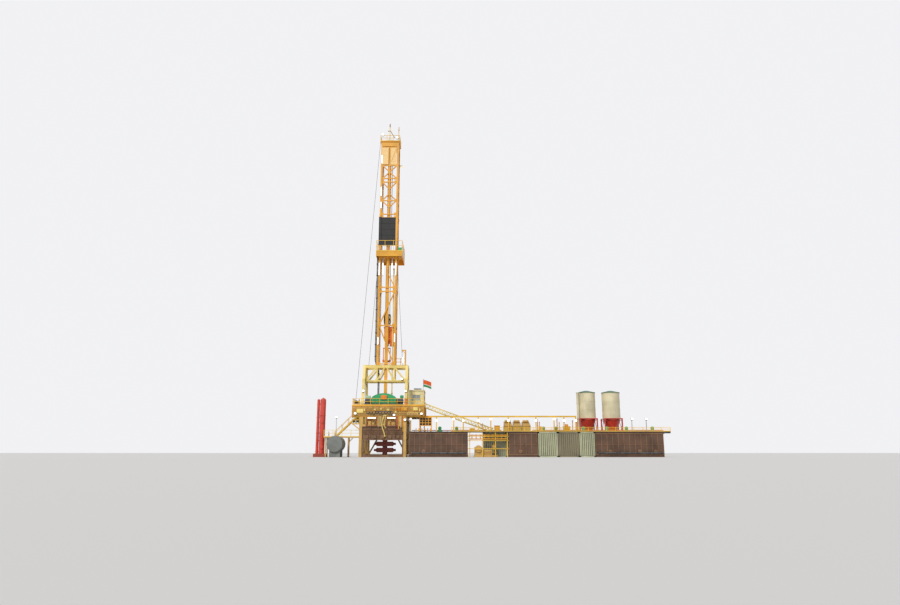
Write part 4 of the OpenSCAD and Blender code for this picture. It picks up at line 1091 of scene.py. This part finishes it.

# Ribbed containers: pressed steel walls with deep vertical ribs and corner posts,
# three pale and one dark. The valleys between the ribs are painted dark as shade.
pale_green = paint("grey_green_paint", (0.46, 0.47, 0.3), rust=0.14, grime=0.5)
umber = paint("dark_container_paint", (0.24, 0.2, 0.12), rust=0.2, grime=0.5)
# Valley paint: painted shade for the sheet behind the ribs, with grime noise over it.
valley_shade = paint("container_valley_shade_paint", (0.13, 0.12, 0.075), rust=0.2, grime=0.6, rough=0.6)
dress(pale_green, "ribbed_containers")
corner_post, rib_pitch, container_top = 0.08, 0.15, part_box("ribbed_containers")[1][2]
pale_walls, dark_walls = Bench("container_ribs_pale"), Bench("container_ribs_dark")
shaded_troughs = Bench("container_shaded_valleys")
containers = ((7.65, 9.47, -0.8, pale_walls), (11.77, 13.24, tank_rear, pale_walls),
              (13.29, 14.84, tank_rear, dark_walls), (14.89, 16.04, tank_rear, pale_walls))
for left, right, rear, wall in containers:
    skin = rear - 0.01
    shaded_troughs.plate((left, skin, 0), (right, rear, container_top))
    count = round((right - left - 2 * corner_post) / rib_pitch)
    pitch = (right - left - 2 * corner_post) / count
    for x in row(left + corner_post, pitch, count):
        for back, face in ((skin - 0.032, skin), (tank_front, tank_front + 0.03)):
            wall.plate((x + pitch * 0.18, back, 0.12), (x + pitch * 0.82, face, 1.74))
    for x in (left, right - corner_post):
        wall.plate((x, skin - 0.035, 0), (x + corner_post, skin, container_top))
    for z in (0, container_top - 0.1):
        wall.plate((left, skin - 0.035, z), (right, skin, z + 0.1))
pale_walls.fix(pale_green, "grey_green")
dark_walls.fix(umber, "grey_green")
shaded_troughs.fix(valley_shade, "grey_green")

# Pump bay: a mud pump on its skid in front of the set-back container, with a round
# pulsation bottle, behind yellow posts and rails.
dome = [(0, 0.06), (0.1, 0.08), (0.2, 0.16), (0.36, 0.16), (0.46, 0.05)]
pump = Bench("mud_pump")
pump.plates(((6.9, -1.6, 0), (8.7, -1.0, 0.16)), ((6.95, -1.5, 0.16), (7.55, -1.1, 0.75)),
            ((7.55, -1.45, 0.16), (8.3, -1.15, 0.55)))
pump.round((7.25, -1.62, 0.62), (7.25, -0.98, 0.62), 0.26, 24)
pump.lathe((8.45, -1.3, 0.5), up, dome, 20)
for y in row(-1.42, 0.12, 3):
    pump.round((8.3, y, 0.36), (8.62, y, 0.36), 0.05, 12)
pump.fix(ochre, "ochre", smooth=True, bevel=0.01)
bay_posts = Bench("pump_bay_posts")
for x in (6.55, 7.5, 8.5, 9.4):
    bay_posts.plate((x, -1.78, 0), (x + 0.06, -1.72, container_top))
for z in (0.6, 1.2, 1.5):
    bay_posts.plate((6.44, -1.78, z), (9.53, -1.74, z + 0.04))
bay_posts.fix(rail_yellow, "rail_yellow")
manifold_y = -1.66
globe_valve = [(0, 0.03), (0.02, 0.06), (0.08, 0.06), (0.12, 0.03), (0.3, 0.03), (0.34, 0.055),
               (0.38, 0.055)]
manifold = Bench("pump_bay_manifold")
for z in (1.34, 1.62):
    manifold.pipe([(6.5, manifold_y, z), (9.5, manifold_y, z)], 0.04, 10)
for x in row(6.75, 0.32, 9):
    manifold.lathe((x, manifold_y, 1.3), up, globe_valve, 12)
manifold.fix(golden, "golden", smooth=True)

# Lamp beam: a long yellow beam on posts above the tanks, with a bulkhead lamp high on
# each post.
lamp_posts = [2.03, 2.78, 4.005, 5.33, 6.06, 7.21, 8.17, 9.52, 11.635, 13.02, 13.78, 14.68]
beam_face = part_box("lamp_beam_frame")[0][1]
guards, bulbs = Bench("post_lamp_guards"), Bench("post_lamps")
for k, x in enumerate(lamp_posts):
    z = 2.84 if k % 3 == 0 else 2.72
    guards.plate((x - 0.02, beam_face - 0.03, z - 0.12), (x + 0.1, beam_face, z + 0.12))
    bulbs.lathe((x + 0.04, -1.53, z), rearward, [(0, 0.085), (0.03, 0.085), (0.06, 0.05), (0.07, 0.01)], 14)
for low, high in ((3.07, 3.09), (2.975, 2.99)):
    guards.plate((3.12, beam_face - 0.012, low), (14.77, beam_face, high))
guards.fix(rail_yellow, "rail_yellow")
bulbs.fix(glow, "galvanised", smooth=True)

# Hole rack: a golden steel rack of deep holes for tools, edged with angles, with dark
# steel sheets in the holes as painted shade.
dress(golden, "hole_rack")
rack_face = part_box("hole_rack")[0][1]
edges = Bench("rack_edges")
for x in (2.74, 3.68):
    edges.plate((x, rack_face - 0.015, 2.32), (x + 0.02, rack_face, 2.975))
for z in (2.32, 2.535, 2.735, 2.955):
    edges.plate((2.76, rack_face - 0.015, z), (3.68, rack_face, z + 0.02))
edges.fix(golden, "golden")
# Pocket backs and floors: dark steel sheets, painted shade inside each hole.
pocket_shade = Bench("rack_pocket_shade")
for x in row(2.79, 0.225, 4):
    for z in row(2.37, 0.2, 3):
        pocket_shade.plate((x, -1.612, z), (x + 0.185, -1.604, z + 0.15))
        pocket_shade.plate((x, -1.75, z), (x + 0.185, -1.612, z + 0.004))
pocket_shade.fix(steel, "dark_steel")

# Shakers: three ochre screening baskets on springs, with twin vibrator motors across
# the top of each and a closing panel under its rear edge.
spring = [(k * 0.02, 0.035 + 0.012 * (k % 2)) for k in range(7)]
vibrator = [(0, 0.09), (0, 0.12), (0.02, 0.12), (0.16, 0.12), (0.18, 0.09)]
screens = Bench("shaker_fittings")
for x in (9.23, 9.93, 10.63):
    for sx in (0.05, 0.59):
        for y in (-1.27, -0.53):
            screens.lathe((x + sx, y, 2.2), up, spring, 12)
    for left in (x, x + 0.61):
        screens.plate((left, -1.4, 2.28), (left + 0.03, -0.5, 2.36))
    for left in row(x + 0.05, 0.13, 5):
        screens.plate((left, -1.395, 2.3), (left + 0.02, -1.37, 2.44))
    for sx in (0.1, 0.36):
        screens.lathe((x + sx, -0.8, 2.68), along_x, vibrator, 18)
    screens.plate((x + 0.06, -1.32, 1.96), (x + 0.58, -1.3, 2.2))
screens.fix(ochre, "ochre", smooth=True)

# Deck gear: agitator motors, chests, valves, risers and a mud gun line on the tank
# deck, and small floodlights on its posts and on the left landing's.
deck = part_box("tank_row_deck")[1][2]
agitator = [(0, 0.1), (0.08, 0.1), (0.08, 0.13), (0.26, 0.13), (0.3, 0.1), (0.32, 0.04)]
agitators = Bench("deck_gear")
for x in (4.3, 5.6, 12.3, 13.3, 15.4, 17.2, 18.7, 20.7):
    agitators.plate((x - 0.2, -1.1, deck), (x + 0.2, -0.8, deck + 0.08))
    agitators.lathe((x, -0.95, deck + 0.08), up, agitator, 18)
agitators.fix(green, "green", smooth=True)
deck_valve = [(0, 0.03), (0.05, 0.03), (0.06, 0.06), (0.12, 0.06), (0.14, 0.03), (0.2, 0.03), (0.21, 0.055),
              (0.23, 0.055)]
chests = Bench("deck_chests")
chests.plates(((13.8, -1.42, deck), (14.3, -1.0, 2.28)), ((13.78, -1.44, 2.26), (14.32, -0.98, 2.3)),
              ((11.9, -1.4, deck), (12.1, -1.2, 2.3)), ((6.6, -1.4, deck), (7.0, -1.1, 2.16)),
              ((8.5, -1.45, deck), (8.9, -1.1, 2.34)), ((8.48, -1.47, 2.32), (8.92, -1.08, 2.36)))
chests.round((14.05, -1.2, 2.3), (14.05, -1.2, 2.46), 0.12, 18)
for x in row(2.5, 0.22, 6):
    chests.lathe((x, -1.66, deck), up, deck_valve, 12)
chests.fix(golden, "golden", smooth=True, bevel=0.006)
riser_tops = ((11.83, -1.15, 2.8), (11.97, -1.15, 2.62), (13.34, -1.1, 2.86), (13.5, -1.1, 2.6),
              (14.55, -1.0, 2.74), (7.6, -1.2, 2.5), (3.1, -1.0, 2.6))
deck_risers = Bench("deck_risers")
for x, y, top in riser_tops:
    deck_risers.pipe([(x, y, deck), (x, y, top - 0.06), (x, y - 0.03, top), (x, y - 0.16, top)], 0.03, 10)
    for z in (2.02, (top + deck) / 2):
        deck_risers.round((x, y, z - 0.02), (x, y, z + 0.02), 0.05, 12)
deck_risers.fix(golden, "golden", smooth=True)
gun_y, gun_z = -0.45, 2.02
gun = Bench("mud_gun_line")
for left, right in ((2.1, 9.1), (11.5, 21.7)):
    gun.pipe([(left, gun_y, gun_z), (right, gun_y, gun_z)], 0.03, 8)
for x in row(11.6, 0.85, 12) + row(2.3, 0.85, 8):
    gun.plate((x, gun_y - 0.03, deck), (x + 0.04, gun_y + 0.03, deck + 0.1))
gun.fix(red, "red", smooth=True)
floodlights("post_floodlights", [(19.145, -1.05, 2.87), (20.26, -1.05, 2.87), (-3.635, -1.45, 3.0)])

# Round tank: a worn grey rolled tank with stiffening rings, bolted ends, a manhole
# cover with a handle and a drain valve.
tank_grey = paint("tank_grey_paint", (0.2, 0.21, 0.19), fade=0.2, rust=0.22, grime=0.4, rough=0.5)
dress(tank_grey, "round_tank", "round_tank_ends")
tank_x, tank_z = -3.4, 0.95
tank_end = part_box("round_tank_ends")[0][1]
tank_ring = [(-0.03, 0.572), (-0.03, 0.59), (0.03, 0.59), (0.03, 0.572), (-0.03, 0.572)]
manhole = [(0, 0.22), (0.004, 0.22), (0.004, 0.2), (0.014, 0.2), (0.014, 0.0)]
drain = [(0, 0.05), (0.012, 0.05), (0.012, 0.03), (0.016, 0.03)]
rings = Bench("round_tank_rings")
for y in (-3.3, -2.6, -1.9):
    rings.lathe((tank_x, y, tank_z), along_y, tank_ring, 48)
rings.lathe((tank_x, tank_end, tank_z), rearward, manhole, 32)
for turn in row(0, math.pi / 10, 20):
    for radius in (0.24, 0.53):
        x, z = tank_x + radius * math.cos(turn), tank_z + radius * math.sin(turn)
        rings.round((x, tank_end - 0.012, z), (x, tank_end + 0.01, z), 0.014, 6)
rings.plate((tank_x - 0.05, tank_end - 0.016, 0.86), (tank_x + 0.05, tank_end, 0.88))
rings.plate((tank_x - 0.01, tank_end - 0.02, 0.3), (tank_x + 0.01, tank_end, 0.42))
rings.lathe((tank_x, tank_end, 0.48), rearward, drain, 16)
rings.fix(tank_grey, "dark_steel", smooth=True)

# Silos: cream welded shells with rolled bands, a fill pipe beside the left one, a
# ladder up the back of each and a low dark green roof, over red hoppers on red frames.
cream = paint("cream_paint", (0.78, 0.7, 0.46), rust=0.06, grime=0.4)
dark_green = paint("dark_green_paint", (0.03, 0.13, 0.06), rust=0.05, grime=0.3)
dress(cream, "silo_shells")
dress(dark_green, "silo_caps")
silo_xs, silo_y = (16.27, 18.28), 2
hoops = Bench("silo_bands")
for x in silo_xs:
    for z in (3.08, 3.75, 4.42, 5.07):
        hoops.hoop((x, silo_y, z), up, 0.025, 0.718, 0.733, 48)
hoops.fix(cream, "cream", smooth=True)
fill_x, fill_y, branch_z = 15.48, 1.5, 4.96
fill = Bench("silo_fill_pipe")
fill.pipe([(fill_x, fill_y, 0.12), (fill_x, fill_y, 5.12)], 0.1, 14)
fill.pipe([(fill_x, fill_y, branch_z), (15.74, 1.68, branch_z)], 0.06, 12)
for z in (0.3, 1.55, 3.02, 4.3, 5.1):
    fill.hoop((fill_x, fill_y, z), up, 0.03, 0.099, 0.125, 20)
for z in (3.02, 4.3):
    fill.bar((fill_x, fill_y, z), (15.75, 1.66, z), 0.05, 0.03)
fill.fix(cream, "cream", smooth=True)

climb_half, climb_y = 0.09, 2.79
climbs = Bench("silo_ladders")
for x in silo_xs:
    for rail in (x - climb_half, x + climb_half):
        climbs.plate((rail - 0.01, climb_y - 0.01, 0.1), (rail + 0.01, climb_y + 0.01, 5.25))
    for z in row(0.25, 0.15, 34):
        climbs.round((x - climb_half, climb_y, z), (x + climb_half, climb_y, z), 0.007, 6)
    for z in (3.01, 3.9, 4.95):
        climbs.plate((x - 0.1, 2.71, z), (x + 0.1, climb_y + 0.01, z + 0.02))
climbs.fix(zinc, "galvanised")

spout = [(-0.3, 0.08), (-0.26, 0.08), (-0.26, 0.12), (-0.02, 0.12), (0.0, 0.17), (0.04, 0.17)]
outlets, braces, ties = Bench("silo_outlets"), Bench("silo_braces"), Bench("silo_frame_gussets")
low_z, high_z, strap = 1.55, 2.95, (0.035, 0.02)
for x in silo_xs:
    outlets.lathe((x, silo_y, 1.15), up, spout, 20)
    outlets.plate((x - 0.2, silo_y - 0.06, 1.01), (x + 0.2, silo_y + 0.06, 1.05))
    for z in (1.9, 2.9):
        hopper = 0.15 + 0.55 * (z - 1.22) / 1.71
        outlets.lathe((x, silo_y, z), up, [(-0.02, hopper - 0.012), (-0.02, hopper + 0.015),
                                           (0.02, hopper + 0.025), (0.02, hopper)], 40)
    for first, last in ((low_z, high_z), (high_z, low_z)):
        for y in (1.24, 2.76):
            braces.bar((x - 0.64, y, first), (x + 0.64, y, last), *strap)
        for side in (x - 0.76, x + 0.76):
            braces.bar((side, 1.36, first), (side, 2.64, last), *strap)
    for side in (-1, 1):
        for y in (1.26, 2.74):
            corner, foot = x + side * 0.64, x + side * 0.69
            ties.plate((corner - 0.12, y - 0.005, 1.42), (corner + 0.12, y + 0.005, 1.68))
            ties.plate((foot - 0.09, y - 0.09, 0.12), (foot + 0.09, y + 0.09, 0.14))
outlets.fix(red, "red", smooth=True)
braces.fix(red, "red")
ties.fix(red, "red")

bpy.context.view_layer.update()
